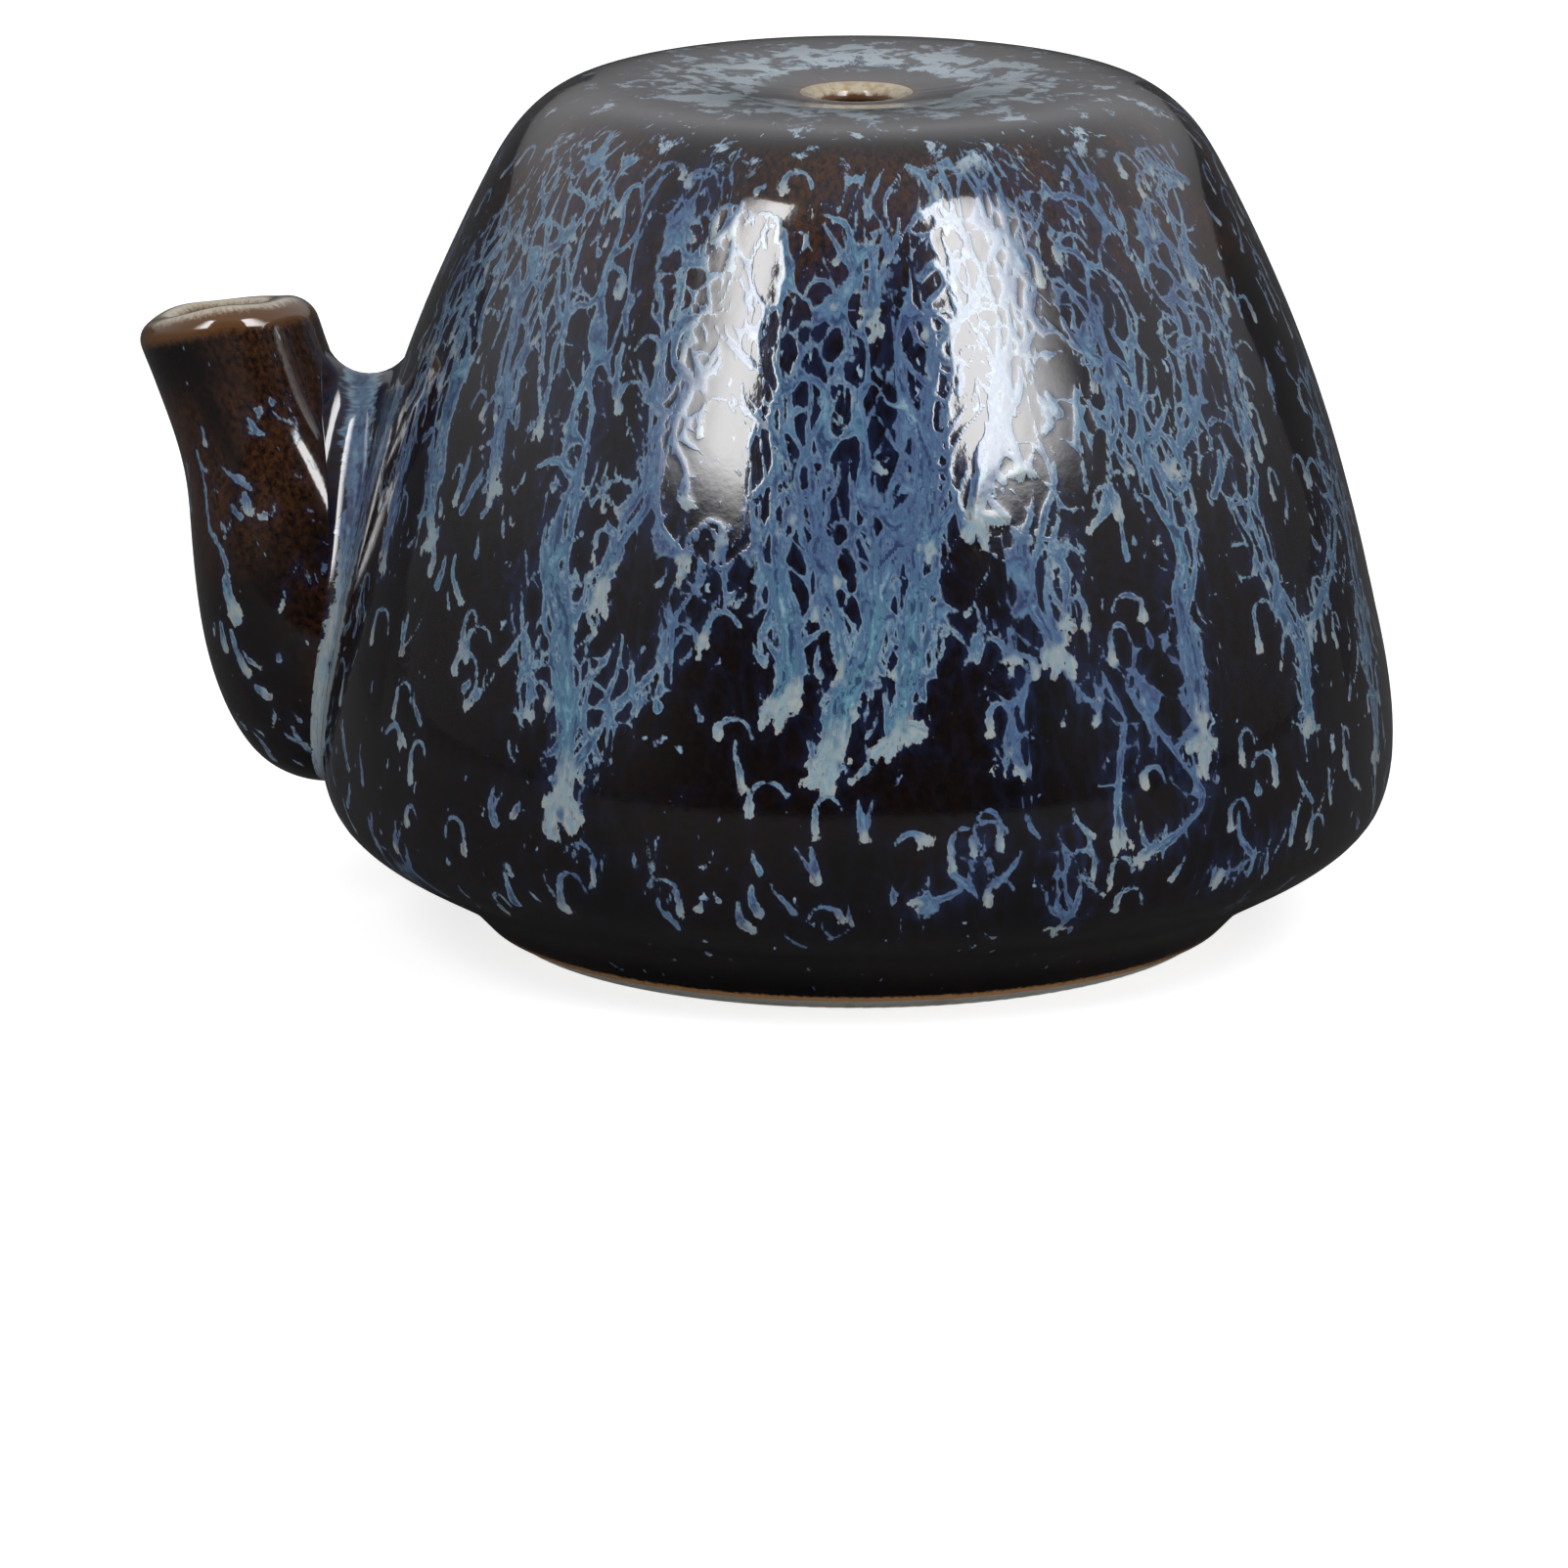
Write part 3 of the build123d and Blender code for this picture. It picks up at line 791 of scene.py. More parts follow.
def paintRun(course, strands, spread, width):
    # A run: a net of lines round dark islands that draws together to its pale end, with a few strands.
    turn, s, f = smoothCourse(course)
    n = len(turn)
    perDegree = np.radians(radiusAt(s))
    shrink = (1 - f) ** 1.1
    for i in range(0, n - 3, 3):
        last = min(i + 3, n - 1)
        wide = 0.55 * spread * shrink[i] + 0.62 * width + 0.15
        centre = 0.27 + (0.34 * width - 0.12) * f[i] ** 0.9
        wetSegment((turn[i], s[i]), (turn[last], s[last]), wide, wide + 1.6, centre)
    for k in range(max(1, strands - 2)):
        side = 0 if strands < 4 else 2 * k / (strands - 3) - 1
        main = k == (strands - 2) // 2 or strands < 4
        begin = int(0.12 * n) if main else int(rng.uniform(0.1, 0.55) * n)
        wave = np.sin(np.arange(n) * 0.4 / rng.uniform(1.6, 3.0) + rng.uniform(0, 6.3))
        offset = spread * shrink * (side * 0.5 + 0.18 * wave) + 0.42 * (1 - 0.5 * f) * wiggle(n, 5)
        offset = offset + width * 0.25 * side * f
        thick = (0.13 + 0.5 * width * f**1.3 * (0.58 if main else 0.3)) * (1 + 0.35 * wiggle(n, 5))
        tip = np.clip((f - 0.86) / 0.14, 0, 1)
        fade = np.clip((np.arange(n) - begin) / 6, 0.2, 1)
        part = slice(begin, n)
        paintLine((turn + offset / perDegree)[part], s[part], (thick * fade)[part], tip[part])
        # buds and twigs along the strand
        for i in range(begin + 2, n - 2):
            if rng.random() < paintRules["buds"] * (1.1 - 0.6 * f[i]):
                sideways = rng.choice((-1, 1))
                bud(turn[i] + offset[i] / perDegree[i], s[i], rng.uniform(0.2, 0.36), sideways)
            if rng.random() < paintRules["twigs"]:
                m = int(rng.integers(5, 12))
                g = np.linspace(1, 0, m)
                away = rng.choice((-1, 1)) * rng.uniform(0.6, 2.2)
                x = offset[i] + away * g**0.8 + 0.2 * wiggle(m, 3)
                up = s[i] - g * m * 0.32
                paintLine(turn[i] + x / perDegree[i], up, 0.12 + 0.12 * (1 - g), np.zeros(m))
    claw(turn[-1], s[-1], width)


def paintDrip(turn, s, length, size):
    # A free comma or dash.
    n = max(3, int(length / 0.4))
    f = np.linspace(0, 1, n)
    perDegree = math.radians(radiusAt(s))
    bend = rng.uniform(-0.7, 0.7) * length * f**2 + 0.35 * wiggle(n, 3)
    radius = size * (0.3 + 0.7 * f**0.8) * (1 + 0.3 * wiggle(n, 3))
    paintLine(turn + bend / perDegree, s + f * length, radius, f**2 * rng.uniform(0.2, 0.9))
    if length > 2.2 and rng.random() < 0.6:
        paintLine(
            turn + (bend + rng.choice((-1, 1)) * (1 - f) * rng.uniform(0.5, 1.2)) / perDegree,
            s + f * length,
            np.maximum(radius * 0.5, 0.07),
            f * 0.2,
        )


for course, strands, spread, width in mainRuns:
    paintRun(course, strands, spread, width)
for number in range(paintRules["arches"]):
    turn, s = rng.uniform(0, 360), rng.uniform(paintRules["from"], paintRules["to"])
    wide, tall = rng.uniform(0.5, 1.3), rng.uniform(0.6, 2.6)
    degree = math.radians(radiusAt(s))
    side = rng.choice((-1, 1))
    at = [(-1, rng.uniform(0.2, 1)), (-0.7, -0.35), (0, -0.6), (0.75, -0.3), (1, 0.4), (0.9, tall)]
    course = [(turn + side * x * wide / degree, s + y) for x, y in at]
    turnLine, sLine, share = smoothCourse(course, 0.25)
    paintLine(turnLine, sLine, 0.11 + rng.uniform(0.12, 0.3) * share**2, share**2 * 0.8)
for course in hooks:
    turnLine, sLine, share = smoothCourse(course, 0.3)
    paintLine(turnLine, sLine, 0.16 + 0.22 * share**2, share**3)
    claw(turnLine[-1], sLine[-1], 0.5)
left, right = paintRules["back"]
for number in range(paintRules["backSystems"]):
    turn = left + number * (right - left) / (paintRules["backSystems"] - 1) + rng.uniform(-4, 4)
    top = rng.uniform(20, 34)
    bottom = min(top + rng.uniform(14, 34), 64)
    steps = 6
    course = [
        (turn + 1.4 * wiggle(steps, 1.5)[i] * 2, top + (bottom - top) * i / (steps - 1)) for i in range(steps)
    ]
    paintRun(course, int(rng.integers(4, 7)), rng.uniform(2, 4.4), rng.uniform(0.7, 1.6))
for number in range(paintRules["freeDrips"]):
    s = rng.uniform(paintRules["from"], paintRules["to"])
    size = rng.choice((0.14, 0.2, 0.27, 0.36), p=(0.3, 0.3, 0.24, 0.16))
    paintDrip(rng.uniform(0, 360), s, rng.uniform(0.4, 3.4), size)


def islandBorders(turn, s, r, width, height, flat):
    # Distance in mm from each place to the nearest border between upright islands of a jittered grid.
    columns = round(paintRules["around"] / width)
    jitter = rng.uniform(-0.36, 0.36, (2, int(paintRules["down"] / height) + 4, columns))
    x = (turn % 360) / 360 * columns
    mmPerColumn = 2 * math.pi * r / columns
    i = np.floor(x).astype(int)
    q = width / height
    away, down = [], []
    for di in (-2, -1, 0, 1, 2):
        col = (i + di) % columns
        lift = 0.5 * (col % 2)
        j = np.floor(s / height - lift).astype(int)
        for dj in (-1, 0, 1):
            row = np.clip(j + dj, 0, jitter.shape[1] - 1)
            away.append((i + di + 0.5 + jitter[0, row, col] - x) * mmPerColumn)
            down.append((j + dj + 0.5 + lift + jitter[1, row, col]) * height - s)
    away, down = np.array(away), np.array(down)
    far = away**2 + (q * down) ** 2
    near = np.argmin(far, axis=0)[None]
    nearAway, nearDown = (np.take_along_axis(v, near, 0) for v in (away, down))
    gap = (far - np.take_along_axis(far, near, 0)) / 2
    slope = np.sqrt((away - nearAway) ** 2 + (flat * q * q * (down - nearDown)) ** 2)
    distance = np.where(slope < 1e-6, 9.0, gap / np.maximum(slope, 1e-6))
    sharp = paintRules["sharp"]
    return -np.log(np.exp(-sharp * distance).sum(axis=0)) / sharp, nearAway[0]


def paintNet(canvas, lattices, width, height, thicker):
    turn = np.arange(canvas["cols"]) * 360 / canvas["cols"] + 180
    turn, s = np.meshgrid(turn, canvas["s"])
    r = canvas["r"][:, None]
    perDegree = np.radians(r)
    swayed = turn + (lattices[0].at(turn, s) * 1.5 + lattices[1].at(turn, s) * 0.85) / perDegree
    shifted = s + lattices[2].at(turn, s) * 1.6 + lattices[3].at(turn, s) * 0.7
    state = rng.bit_generator.state  # set back below, so that every skin gets the same islands
    border, across = islandBorders(swayed, shifted, r, width, height, 0.45)
    rng.bit_generator.state = state
    uneven = 0.10 * lattices[4].at(turn, s) + 0.13 * lattices[2].at(turn + 90, s)
    edge = canvas["reach"] * thicker + uneven - 0.05 - border
    better = edge > canvas["edge"]
    new = {"edge": edge, "across": np.sign(across) * border, "along": s, "mark": 3.0 + width, "tip": 0.0}
    for key, values in new.items():
        canvas[key] = np.where(better, values, canvas[key])


for width, height, thicker in paintRules["nets"]:
    lattices = [Lattice(4.5, 8), Lattice(1.6, 2.6), Lattice(4, 6), Lattice(1.4, 2), Lattice(1.8, 3.2)]
    for canvas in canvases.values():
        paintNet(canvas, lattices, width, height, thicker)
    rng.random()
print("runs painted")


def soften(values):
    # Averages a canvas a little, so that the coarse steps of the mesh don't show.
    around = (np.roll(values, 1, 1) + 2 * values + np.roll(values, -1, 1)) / 4
    padded = np.vstack([around[:1], around, around[-1:]])
    return (padded[:-2] + 2 * padded[1:-1] + padded[2:]) / 4


def flowPlace(a, s, radius):
    # Where the glaze's patterns lie: on a cylinder, so that they aren't squeezed near the axis.
    return np.stack([radius * np.sin(a), -radius * np.cos(a), s], axis=1)


def applyPaint(skin, canvas, line, run):
    mesh = skin.data
    p = readPoints(mesh)
    turn = np.degrees(np.arctan2(p[:, 0], -p[:, 1]))
    column = np.rint((turn - 180) / 360 * canvas["cols"]).astype(int) % canvas["cols"]
    s = readFloat(mesh, "down") * run[-1]
    row = np.clip(np.rint((s - canvas["s"][0]) / canvas["step"]).astype(int), 0, len(canvas["s"]) - 1)
    write(mesh, "edge", canvas["edge"][row, column])
    write(mesh, "wet", soften(canvas["wet"])[row, column])
    write(mesh, "tip", soften(canvas["tip"])[row, column])
    course = [canvas[key][row, column] for key in ("across", "along", "mark")]
    write(mesh, "course", np.stack(course, axis=1))
    a = np.radians(turn)
    warm = thin = np.zeros(len(p))
    if run is not bodyRun:
        # the spout's right side is browner, and the coat thins over its lip and is thin in its bore
        warm = np.clip(np.sin(a + 0.3) * 1.6, 0.1, 1)
        thin = np.where(s < 5, 1.0, np.clip(1.0 + p[:, 2] / paintRules["lipDepth"], 0, 1))
    write(mesh, "warm", warm)
    write(mesh, "thin", thin)
    write(mesh, "flow", flowPlace(a, s, paintRules["bodyFlow" if run is bodyRun else "spoutFlow"]))
    # the runs stand up a little
    way = unit(np.gradient(line, axis=0))
    out, up = -np.interp(s, run, way[:, 1]), np.interp(s, run, way[:, 0])
    full = np.clip(soften(canvas["edge"]) / 0.5 + 0.15, 0, 1)[row, column] * paintRules["relief"]
    p[:, 0] += np.sin(a) * out * full
    p[:, 1] -= np.cos(a) * out * full
    p[:, 2] += up * full
    movePoints(mesh, p)


for name, skin in bodySkins.items():
    applyPaint(skin, canvases[name], bodyLine, bodyRun)

# Spout skin
spoutPoints = (241, 200)  # around and down
spoutSkin = turnedSkin("spout_skin", spoutCurve, *spoutPoints)
spoutStrokes = [
    # degrees round from the front, mm below the mouth, half width, paleness
    ([(-40, 8.5), (-41, 12), (-44, 13.7), (-32, 15), (-34, 17), (-33, 19)], 0.28, 0.5),
    ([(-36, 17), (-33, 19.5)], 0.7, 0.9),
    ([(-45, 19.8), (-46, 21.5)], 0.4, 0.8),
    ([(-38, 20.4), (-38, 22.5), (-35, 23.4)], 0.42, 0.8),
    ([(-33, 24.5), (-29, 25.2)], 0.5, 0.9),
    ([(-12, 11.8), (-11, 13)], 0.4, 0.7),
    ([(-50, 27.8), (-47, 28.8), (-52, 30)], 0.35, 0.6),
    ([(-23, 27.5), (-24, 29.8), (-14, 31), (-6, 30.6)], 0.3, 0.8),
    ([(60, 9), (50, 11), (42, 13.5)], 0.3, 0.3),
    ([(75, 11), (62, 13.5), (50, 15.5), (40, 16)], 0.3, 0.4),
    ([(80, 14), (66, 17), (58, 17.5)], 0.3, 0.4),
]
spoutCanvas = makeCanvas(spoutLine, spoutRun, 0.0, spoutRun[-1], *spoutPoints)
# the outline's points from here on lie on the spout's outside
outer = int(np.argmax((spoutLine[:, 0] > 4.8) & (spoutLine[:, 1] > -2)))


def runBelow(depth):
    return np.interp(depth, -spoutLine[outer:, 1], spoutRun[outer:])


openCanvases[:] = [spoutCanvas]
painted.update(line=spoutLine, run=spoutRun)
for course, half, pale in spoutStrokes:
    course = [(turn, runBelow(depth)) for turn, depth in course]
    turnLine, runLine, share = smoothCourse(course, 0.3)
    paintLine(turnLine, runLine, half * (0.45 + 0.55 * share), pale * share)
for number in range(paintRules["spoutDrips"]):
    depth = rng.uniform(*paintRules["spoutReach"])
    size = rng.choice((0.1, 0.16, 0.24))
    paintDrip(rng.uniform(-180, 180), runBelow(depth), rng.uniform(0.2, 1.6), size)
applyPaint(spoutSkin, spoutCanvas, spoutLine, spoutRun)

spoutLean = math.radians(spoutSize["lean"])
spoutUp = np.array((-math.sin(spoutLean), 0, math.cos(spoutLean)))


def placeSpout(mesh):
    # Stands the spout on its leaning axis and gives its lip the lean and roll of the real mouth.
    s = spoutSize
    side = np.array((math.cos(spoutLean), 0, math.sin(spoutLean)))
    front = np.array((0.0, 1.0, 0.0))
    tilt = Matrix.Rotation(math.radians(-s["mouthRoll"]), 3, "X") @ Matrix.Rotation(
        math.radians(-s["mouthLean"]), 3, "Y"
    )
    normal = np.array(tilt @ Vector((0, 0, 1)))
    p = readPoints(mesh)
    far, near = s["lipFade"]
    fade = eased(np.clip((p[:, 2] + far) / (far - near), 0, 1))
    shift = -(p[:, 0] * (normal @ side) + p[:, 1] * (normal @ front)) / (normal @ spoutUp)
    a = np.arctan2(p[:, 0], -p[:, 1])
    uneven = s["lipWaver"] * (np.sin(2 * a + 0.8) + 0.6 * np.sin(3 * a + 2.1) + 0.3 * np.sin(5 * a))
    up = p[:, 2] + (shift + uneven * fade) * fade
    world = np.array(s["mouth"]) + np.outer(p[:, 0], side) + np.outer(p[:, 1], front) + np.outer(up, spoutUp)
    movePoints(mesh, world)


placeSpout(spoutSkin.data)
finished(spoutSkin, "spout_glaze", "spout_glaze", "lip_glaze")

jointShape = {
    # radius of the hollow fillet in mm on top of the spout, on its flanks and under it
    "top": 3.2,
    "flank": 1.5,
    "under": 1.3,
    "heart": (-34.6, 0.0, 23.0),  # place inside the joint
    "up": (0.30, 0.0, 0.95),  # way from there to its top
    "reach": (2.0, 22.0),  # mm from the heart between which the fillet's middle is looked for
    "around": 420,
    "steps": 14,
    "sink": 0.03,  # mm that its edges reach under wall and spout
    "deeper": 0.25,  # mm past the corner of wall and spout, where its hidden back closes
}


def nearestOn(line, across, up):
    # Signed distance to a line from places beside it, and the nearest points.
    gap = np.hypot(across[:, None] - line[None, :, 0], up[:, None] - line[None, :, 1])
    best = np.clip(np.argmin(gap, axis=1), 1, len(line) - 2)
    place = np.stack([across, up], axis=1)
    found, reach = line[best], np.full(len(best), 1e9)
    for step in (-1, 0):
        start = line[best + step]
        way = line[best + step + 1] - start
        share = np.clip(((place - start) * way).sum(axis=1) / (way**2).sum(axis=1), 0, 1)
        at = start + way * share[:, None]
        far = np.linalg.norm(place - at, axis=1)
        found = np.where((far < reach)[:, None], at, found)
        reach = np.minimum(far, reach)
    way = line[best + 1] - line[best - 1]
    side = (up - found[:, 1]) * way[:, 0] - (across - found[:, 0]) * way[:, 1]
    return np.copysign(reach, side), found


def smoothRound(values):
    for _ in range(10):
        values = (np.roll(values, 1, 0) + 2 * values + np.roll(values, -1, 0)) / 4
    return values


def fromBody(p):
    r = np.hypot(p[:, 0], p[:, 1])
    distance, found = nearestOn(bodyLine, r, p[:, 2])
    return distance, np.stack([p[:, 0] / r * found[:, 0], p[:, 1] / r * found[:, 0], found[:, 1]], axis=1)


def fromSpout(p):
    mouth = np.array(spoutSize["mouth"])
    up = (p - mouth) @ spoutUp
    flat = p - mouth - np.outer(up, spoutUp)
    r = np.linalg.norm(flat, axis=1)
    distance, found = nearestOn(spoutLine[outer:], r, up)
    return distance, mouth + flat / r[:, None] * found[:, :1] + np.outer(found[:, 1], spoutUp)


def jointMesh():
    s = jointShape
    a = np.radians(np.arange(s["around"]) * 360 / s["around"])
    high = np.sin(a)
    radius = s["flank"] + np.where(high > 0, s["top"] - s["flank"], s["under"] - s["flank"]) * high**2
    heart = np.array(s["heart"])
    ways = np.outer(np.cos(a), (0.0, -1.0, 0.0)) + np.outer(high, s["up"])

    def lifted(reach):
        # the place over the wall, as far off it as the fillet's radius
        p = heart + ways * reach[:, None]
        for _ in range(8):
            distance, found = fromBody(p)
            normal = (p - found) / np.where(np.abs(distance) < 1e-9, 1e-9, distance)[:, None]
            p = p + normal * (radius - distance)[:, None]
        return p

    low, far = (np.full(len(a), reach) for reach in s["reach"])
    for _ in range(26):
        middle = (low + far) / 2
        inside = fromSpout(lifted(middle))[0] < radius
        low, far = np.where(inside, middle, low), np.where(inside, far, middle)
    centre = smoothRound(lifted((low + far) / 2))
    onBody = fromBody(centre)[1] - centre
    onSpout = fromSpout(centre)[1] - centre
    onBody, onSpout = unit(smoothRound(onBody)), unit(smoothRound(onSpout))
    corner = np.arccos(np.clip((onBody * onSpout).sum(axis=1), -1, 1))
    rows = []
    for t in np.linspace(0, 1, s["steps"] + 1):
        way = np.sin((1 - t) * corner)[:, None] * onBody + np.sin(t * corner)[:, None] * onSpout
        way /= np.sin(corner)[:, None]
        sink = s["sink"] * (2 * t - 1) ** 8
        rows.append(centre + way * (radius + sink)[:, None])
    deep = radius / np.cos(corner / 2) + s["deeper"]
    rows.append(centre + unit(onBody + onSpout) * deep[:, None])
    points = np.vstack(rows)
    n, k = s["around"], len(rows)
    faces = [
        (j * n + i, j * n + (i + 1) % n, (j + 1) % k * n + (i + 1) % n, (j + 1) % k * n + i)
        for j in range(k)
        for i in range(n)
    ]
    mesh = meshOf("joint_skin", (points * mm).tolist(), faces)
    mesh.shade_smooth()
    return mesh, points, np.repeat(np.linspace(0, 1, k), n), np.tile(a, k)


def paintJoint():
    mesh, p, share, a = jointMesh()
    mesh.materials.append(glazeMaterial)
    turn = np.arctan2(p[:, 0], -p[:, 1])
    wall = 200  # the outline's points from here on go down the wall
    s = np.interp(-p[:, 2], -bodyLine[wall:, 1], bodyRun[wall:])
    write(mesh, "flow", flowPlace(turn, s, paintRules["bodyFlow"]))
    knots = Lattice(6, 9)
    middle = 0.42 + 0.14 * knots.at(np.degrees(a), s)
    flank = np.clip(1.15 - np.clip(np.sin(a), 0, 1) * 1.2, 0, 1)
    low = np.clip((24 - p[:, 2]) / 14, 0, 1)
    # a pale line along the middle, broader on the flanks and lower down: a painted highlight where the hollow
    # mirrors a soft box, coloured like a run
    edge = 0.20 + 0.22 * flank + 0.25 * low - np.abs(share - middle) * 1.3
    write(mesh, "edge", edge + 0.05 * knots.at(np.degrees(a) + 40, s))
    write(mesh, "wet", np.full(len(p), 0.7))
    write(mesh, "tip", np.clip(0.55 + 0.5 * low + 0.6 * (share - middle), 0, 1) * flank)
    write(mesh, "warm", np.clip(share * 1.2 - 0.2, 0, 1))
    write(mesh, "thin", np.zeros(len(p)))
    write(mesh, "course", np.stack([share * 3.2, s, np.full(len(p), 7.0)], axis=1))
    finished(linked("joint_skin", mesh), "joint_glaze", "spout_joint", "joint_glaze")


paintJoint()
for helper in (bodyCurve, spoutCurve):
    bpy.data.objects.remove(helper)
print("spout skin made")

keptLooks = {
    "clay": (0.90, 0.88, 0.81),
    "clayStain": (0.34, 0.25, 0.16),
    "claySpecks": (0.17, 0.12, 0.08),
    "liningCream": (0.56, 0.49, 0.36),
    "liningTan": (0.42, 0.30, 0.17),
    "liningBrown": (0.035, 0.018, 0.009),
}


def bareClay():
    # Fired stoneware: pale and sandy, with brown specks and stains.
    made, n, shader = newMaterial("bare stoneware")
    inMm = n.placeInMm()
    sand = n.cloud(inMm, 3.5, 5, 0.7)
    grog = n.cells(inMm, 1.3)
    grogSize = n.between(n.cells(inMm, 1.3, output="Color"), 0.6, 1.0, 0.0, 0.16)
    specks = n.between(n.minus(grogSize, grog), 0.0, 0.03)
    stain = n.cloud(inMm, 0.25, 3)
    clay = keptLooks["clay"]
    darker = tuple(v * 0.88 for v in clay)
    colour = n.blend(n.between(sand, 0.35, 0.7), darker, clay)
    colour = n.blend(n.between(stain, 0.5, 0.75, 0.0, 0.4), colour, keptLooks["clayStain"])
    colour = n.blend(n.times(specks, 0.7), colour, keptLooks["claySpecks"])
    n.feed(colour, shader.inputs["Base Color"])
    n.feed(n.between(sand, 0.2, 0.8, 0.6, 0.85), shader.inputs["Roughness"])
    n.feed(n.bump(n.plus(sand, specks), 0.6, 0.08 * mm), shader.inputs["Normal"])
    return made


def thinGlaze(name, heart, way, creamFrom, creamTo):
    # A coat that is cream near an edge and dark brown deeper in. The depth in mm is measured from a
    # place along a way.
    made, n, shader = newMaterial(name)
    inMm = n.placeInMm()
    mottle = n.cloud(inMm, 1.6, 4, 0.65)
    off = n.vectors("DOT_PRODUCT", n.vectors("SUBTRACT", inMm, heart), way)
    off = n.plus(off, n.scaled(mottle, 0.5, -0.25))
    cream = n.blend(n.between(mottle, 0.4, 0.65), keptLooks["liningCream"], keptLooks["liningTan"])
    colour = n.blend(n.between(off, creamFrom, creamTo), cream, glazeLook["amber"])
    colour = n.blend(n.between(off, creamTo, creamTo * 1.5), colour, keptLooks["liningBrown"])
    n.feed(colour, shader.inputs["Base Color"])
    n.feed(n.between(mottle, 0.3, 0.7, 0.16, 0.3), shader.inputs["Roughness"])
    shader.inputs["Coat Weight"].default_value = 0.8
    shader.inputs["Coat Roughness"].default_value = 0.08
    n.feed(n.bump(n.cloud(inMm, 0.8, 3), 0.3, 0.04 * mm), shader.inputs["Normal"])
    return made


def dress(material, *nodes):
    for node in nodes:
        for slot in bpy.data.objects[node].material_slots:
            slot.material = material


dress(bareClay(), "crown", "body_wall", "bowl", "foot_ring", "spout")
dress(thinGlaze("lip lining", spoutSize["mouth"], tuple(-spoutUp), 1.3, 2.4), "spout_lining")
dress(thinGlaze("air hole rim", (0.0, 0.0, 57.15), (0.0, 0.0, -1.0), 0.45, 0.75), "air_hole_glaze")
dress(thinGlaze("inside glaze", (0.0, 0.0, 60.0), (0.0, 0.0, -1.0), 0.5, 1.0), "cavity_glaze", "recess_glaze")
print("kept solids dressed")

# Camera
cameraSetup = {
    "turn": 8.0,  # degrees that it stands round towards the body's right side
    "elevation": 12.7,
    "distance": 794.0,
    "aimHeight": 28.47,
    "aimPixel": (875.5, 520.3),  # where the body's axis at that height lies in the picture
    "pictureSize": 1603,
    "viewWidth": 7.64,  # degrees
}


def makeCamera():
    s = cameraSetup
    turn, rise = math.radians(s["turn"]), math.radians(s["elevation"])
    back = Vector((math.sin(turn) * math.cos(rise), -math.cos(turn) * math.cos(rise), math.sin(rise)))
    data = bpy.data.cameras.new("camera")
    data.sensor_width = 36
    data.lens = 18 / math.tan(math.radians(s["viewWidth"] / 2))
    data.clip_start, data.clip_end = 0.05, 20
    made = linked("camera", data)
    look = (-back).to_track_quat("-Z", "Y")
    pixel = math.radians(s["viewWidth"]) / s["pictureSize"]
    right = (s["pictureSize"] / 2 - s["aimPixel"][0]) * pixel
    low = (s["pictureSize"] / 2 - s["aimPixel"][1]) * pixel
    # turning the camera left puts what it aims at right of the picture's centre
    aim = look.to_matrix() @ Matrix.Rotation(-right, 3, "Y") @ Matrix.Rotation(-low, 3, "X")
    stand = Vector((0, 0, s["aimHeight"] * mm)) + back * s["distance"] * mm
    made.matrix_world = Matrix.Translation(stand) @ aim.to_4x4()
    bpy.context.scene.camera = made
    return back


towardCamera = makeCamera()

# Studio
studio = {
    # soft boxes: degrees round from the camera, width in degrees, lowest and highest m, brightness
    "boxes": [(-41.0, 26.0, 0.36, 1.5, 8.4), (47.0, 38.0, 0.36, 1.5, 8.4)],
    "fade": 0.75,  # share of a box's width over which it fades towards its outer edge
    "lowFade": 0.12,  # share of its height over which it fades towards its lower edge
    "distance": 0.95,
    # brightness of the room by the cosine of the angle round from the camera, and overhead
    "room": [(-1.0, 0.42), (-0.45, 0.48), (-0.25, 0.44), (0.60, 0.24), (0.90, 0.025), (1.0, 0.008)],
    "ceiling": 0.32,
    "overhead": (0.55, 0.95),  # heights of the view between which the ceiling takes over
    "dusk": 0.42,  # height of the view under which the room grows darker
    "horizon": 0.2,  # share of the room's brightness at the height of the floor
    "floorReach": 3,
    "floor": (0.82, 0.82, 0.82),
    "floorLift": 0.73,  # brightness that only what the camera sees gets
    "card": (0.05, 0.05, 0.052),
    # dark cards behind the sides, and a dark mat that is painted shade of the floor in the reflection:
    # degrees round from the camera, then rings of distance and height in m
    "cards": [
        (124, 170, [(0.05, 0.0005), (0.25, 0.0006), (0.251, 0.09)]),
        (-172, -116, [(0.05, 0.0005), (0.25, 0.0006), (0.251, 0.09)]),
        # painted shade: a dark mat round the foot that only the gloss shows, for the floor's shade in the
        # reflection
        (-180, 180, [(0.0235, 0.0001), (0.034, 0.0005), (4.2, 0.0008)]),
    ],
}


def softBox(name, turn, width, low, high, brightness):
    data = bpy.data.lights.new(name, "AREA")
    data.shape = "RECTANGLE"
    reach = studio["distance"]
    data.size = 2 * reach * math.tan(math.radians(width / 2))
    data.size_y = high - low
    data.energy = brightness * math.pi * data.size * data.size_y
    made = linked(name, data)
    a = math.radians(cameraSetup["turn"] + turn)
    place = Vector((math.sin(a) * reach, -math.cos(a) * reach, (low + high) / 2))
    inward = Vector((-math.sin(a), math.cos(a), 0))
    made.matrix_world = Matrix.Translation(place) @ inward.to_track_quat("-Z", "Y").to_matrix().to_4x4()
    made.visible_camera = False
    softenBox(data, turn)


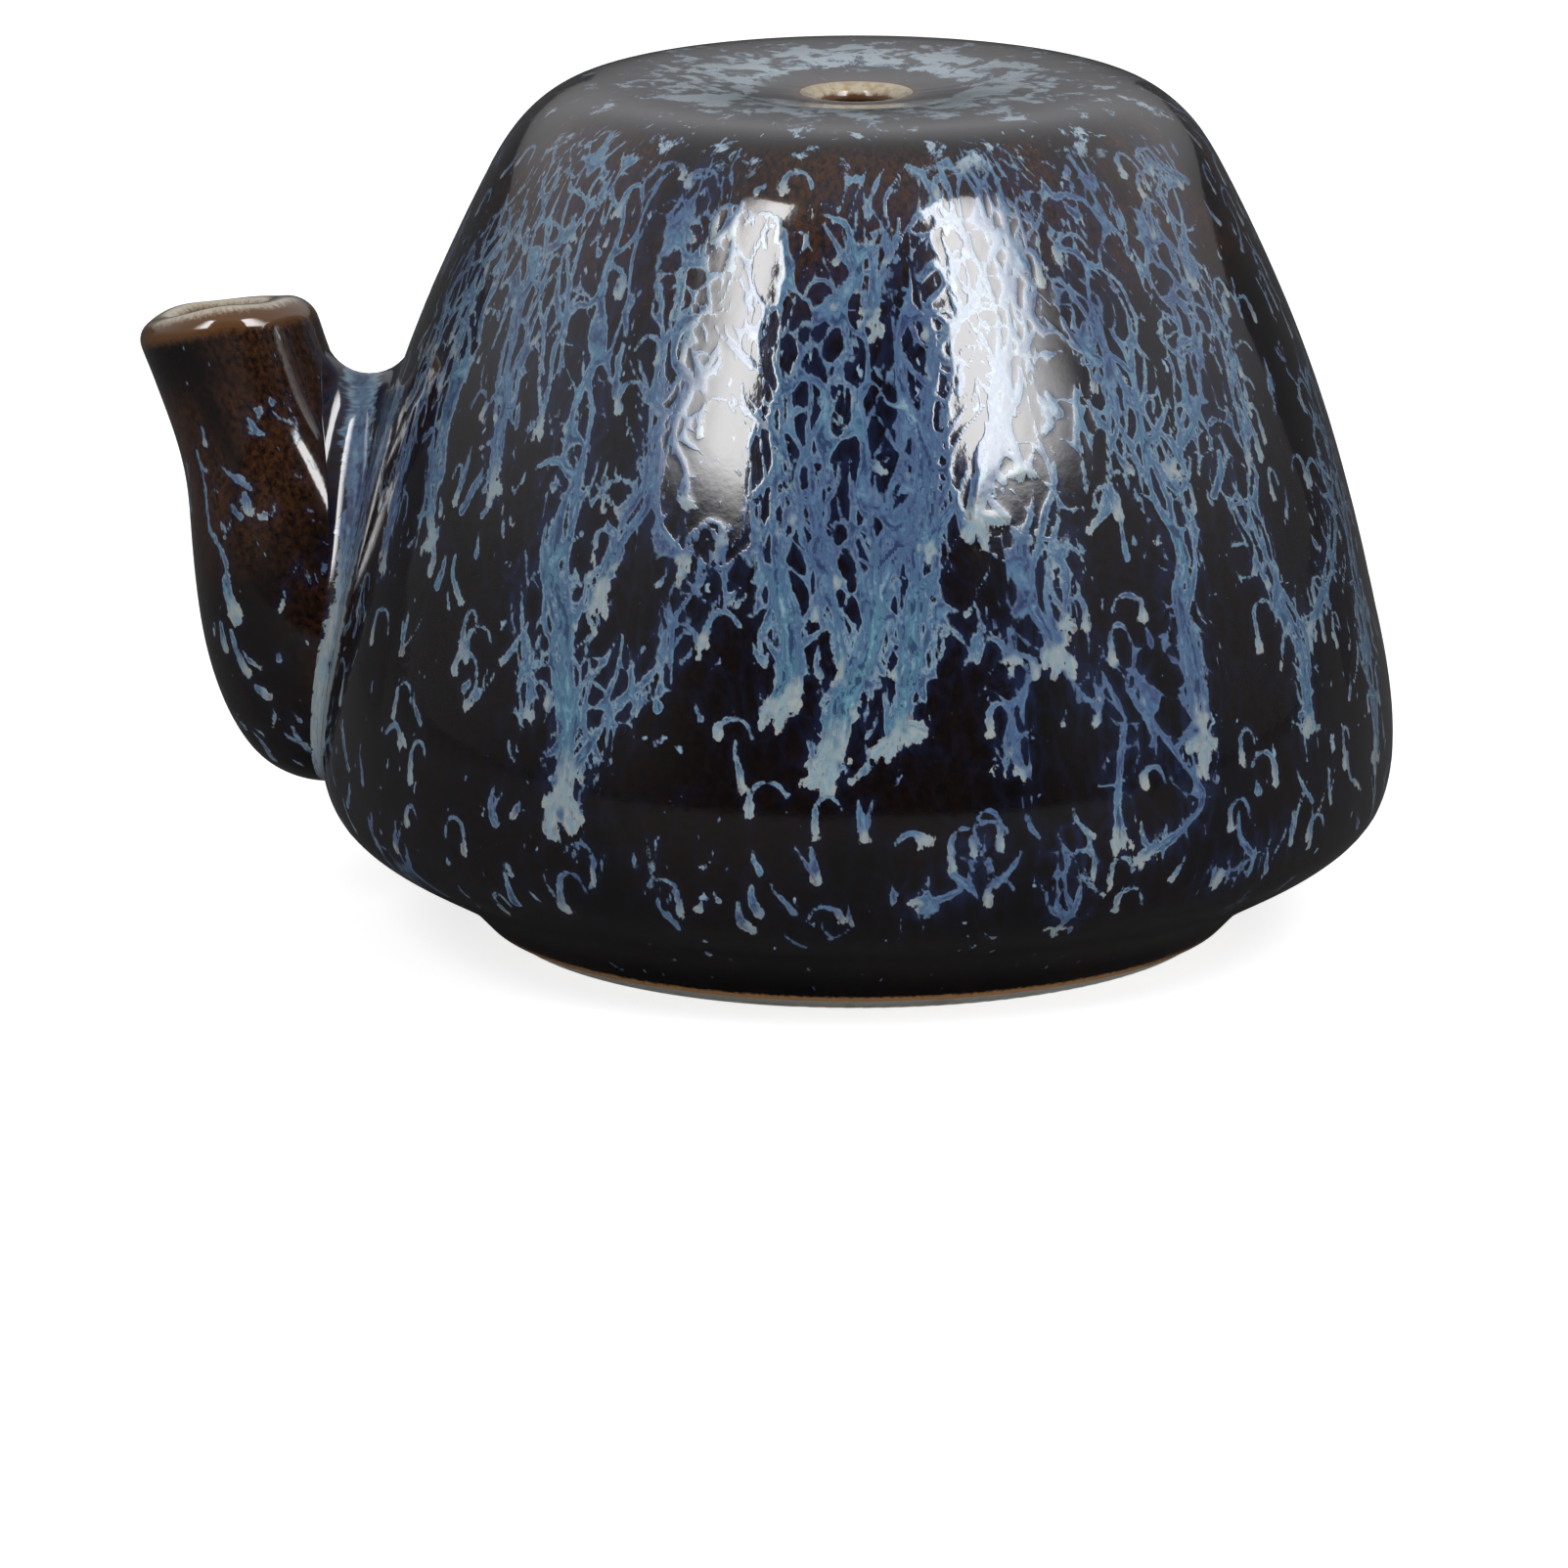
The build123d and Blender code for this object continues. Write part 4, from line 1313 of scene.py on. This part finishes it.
def softenBox(data, turn):
    # The box is dimmer along its lower edge and towards its outer one, as a lamp behind cloth is.
    data.use_nodes = True
    n = Nodes(data.node_tree)
    glow = next(node for node in data.node_tree.nodes if node.type == "EMISSION")
    where = n.parts(n.add("ShaderNodeNewGeometry").outputs["Parametric"])
    outer, inner = (1.0, 1.0 - studio["fade"]) if turn > 0 else (0.0, studio["fade"])
    rise = n.between(where["Y"], 0.0, studio["lowFade"])
    n.feed(n.times(rise, n.between(where["X"], outer, inner)), glow.inputs["Strength"])


for number, box in enumerate(studio["boxes"]):
    softBox(f"soft box {number + 1}", *box)


def makeWorld():
    world = bpy.data.worlds.new("studio")
    bpy.context.scene.world = world
    n = emptied(world)
    where = n.add("ShaderNodeTexCoord").outputs["Generated"]
    flat = n.vectors("NORMALIZE", n.vectors("MULTIPLY", where, (1, 1, 0)))
    facing = n.vectors("DOT_PRODUCT", flat, Vector((towardCamera.x, towardCamera.y, 0)).normalized())
    share = n.add("ShaderNodeMapRange", {"Value": facing, "From Min": -1}).outputs[0]
    ramp = n.add("ShaderNodeValToRGB", {0: share})
    ramp.color_ramp.interpolation = "EASE"
    stops = ramp.color_ramp.elements
    while len(stops) < len(studio["room"]):
        stops.new(0.5)
    for stop, (at, shade) in zip(stops, studio["room"]):
        stop.position = (at + 1) / 2
        stop.color = (shade, shade, shade * 1.03, 1)
    height = n.parts(where)["Z"]
    overhead = n.between(height, *studio["overhead"])
    colour = n.blend(overhead, ramp.outputs[0], (studio["ceiling"],) * 3)
    strength = n.between(height, 0.0, studio["dusk"], studio["horizon"], 1.0)
    room = n.add("ShaderNodeBackground", {"Color": colour, "Strength": strength}).outputs[0]
    # the camera sees white behind the floor
    white = n.add("ShaderNodeBackground", {"Color": (1, 1, 1)}).outputs[0]
    seen = n.add("ShaderNodeLightPath").outputs["Is Camera Ray"]
    shown = n.add("ShaderNodeMixShader", {0: seen, 1: room, 2: white}).outputs[0]
    n.add("ShaderNodeOutputWorld", {0: shown})


makeWorld()


def floorMaterial():
    # Pale, with a lift for what the camera sees straight on or in gloss and glass.
    made = bpy.data.materials.new("pale floor")
    n = emptied(made)
    rays = n.add("ShaderNodeLightPath").outputs
    seen = n.maths("MAXIMUM", rays["Is Camera Ray"], rays["Is Glossy Ray"])
    seen = n.maths("MAXIMUM", seen, rays["Is Transmission Ray"])
    matt = n.add("ShaderNodeBsdfDiffuse", {"Color": studio["floor"]}).outputs[0]
    glow = n.add("ShaderNodeEmission", {"Strength": n.times(seen, studio["floorLift"])}).outputs[0]
    both = n.add("ShaderNodeAddShader", {0: matt, 1: glow}).outputs[0]
    n.add("ShaderNodeOutputMaterial", {0: both})
    return made


reach = studio["floorReach"]
corners = [(-reach, -reach, 0), (reach, -reach, 0), (reach, reach, 0), (-reach, reach, 0)]
floor = linked("floor", meshOf("floor", corners, [(0, 1, 2, 3)]))
floor.data.materials.append(floorMaterial())

cardMaterial, _, cardShader = newMaterial("dark card")
cardShader.inputs["Base Color"].default_value = (*studio["card"], 1)
cardShader.inputs["Roughness"].default_value = 0.9


def darkCard(name, start, end, rings):
    # A bent dark card that only the gloss shows, for the dark edges of a black glaze; the mat round the foot
    # is painted shade of the floor in the reflection.
    turns = np.radians(np.linspace(start, end, 61) + cameraSetup["turn"])
    points = [(math.sin(a) * reach, -math.cos(a) * reach, z) for a in turns for reach, z in rings]
    k = len(rings)
    faces = [
        (k * i + j, k * (i + 1) + j, k * (i + 1) + j + 1, k * i + j + 1)
        for i in range(len(turns) - 1)
        for j in range(k - 1)
    ]
    made = linked(name, meshOf(name, points, faces))
    made.data.materials.append(cardMaterial)
    made.visible_camera = made.visible_diffuse = made.visible_shadow = False


for number, card in enumerate(studio["cards"]):
    darkCard(f"dark card {number + 1}", *card)

print("studio made")
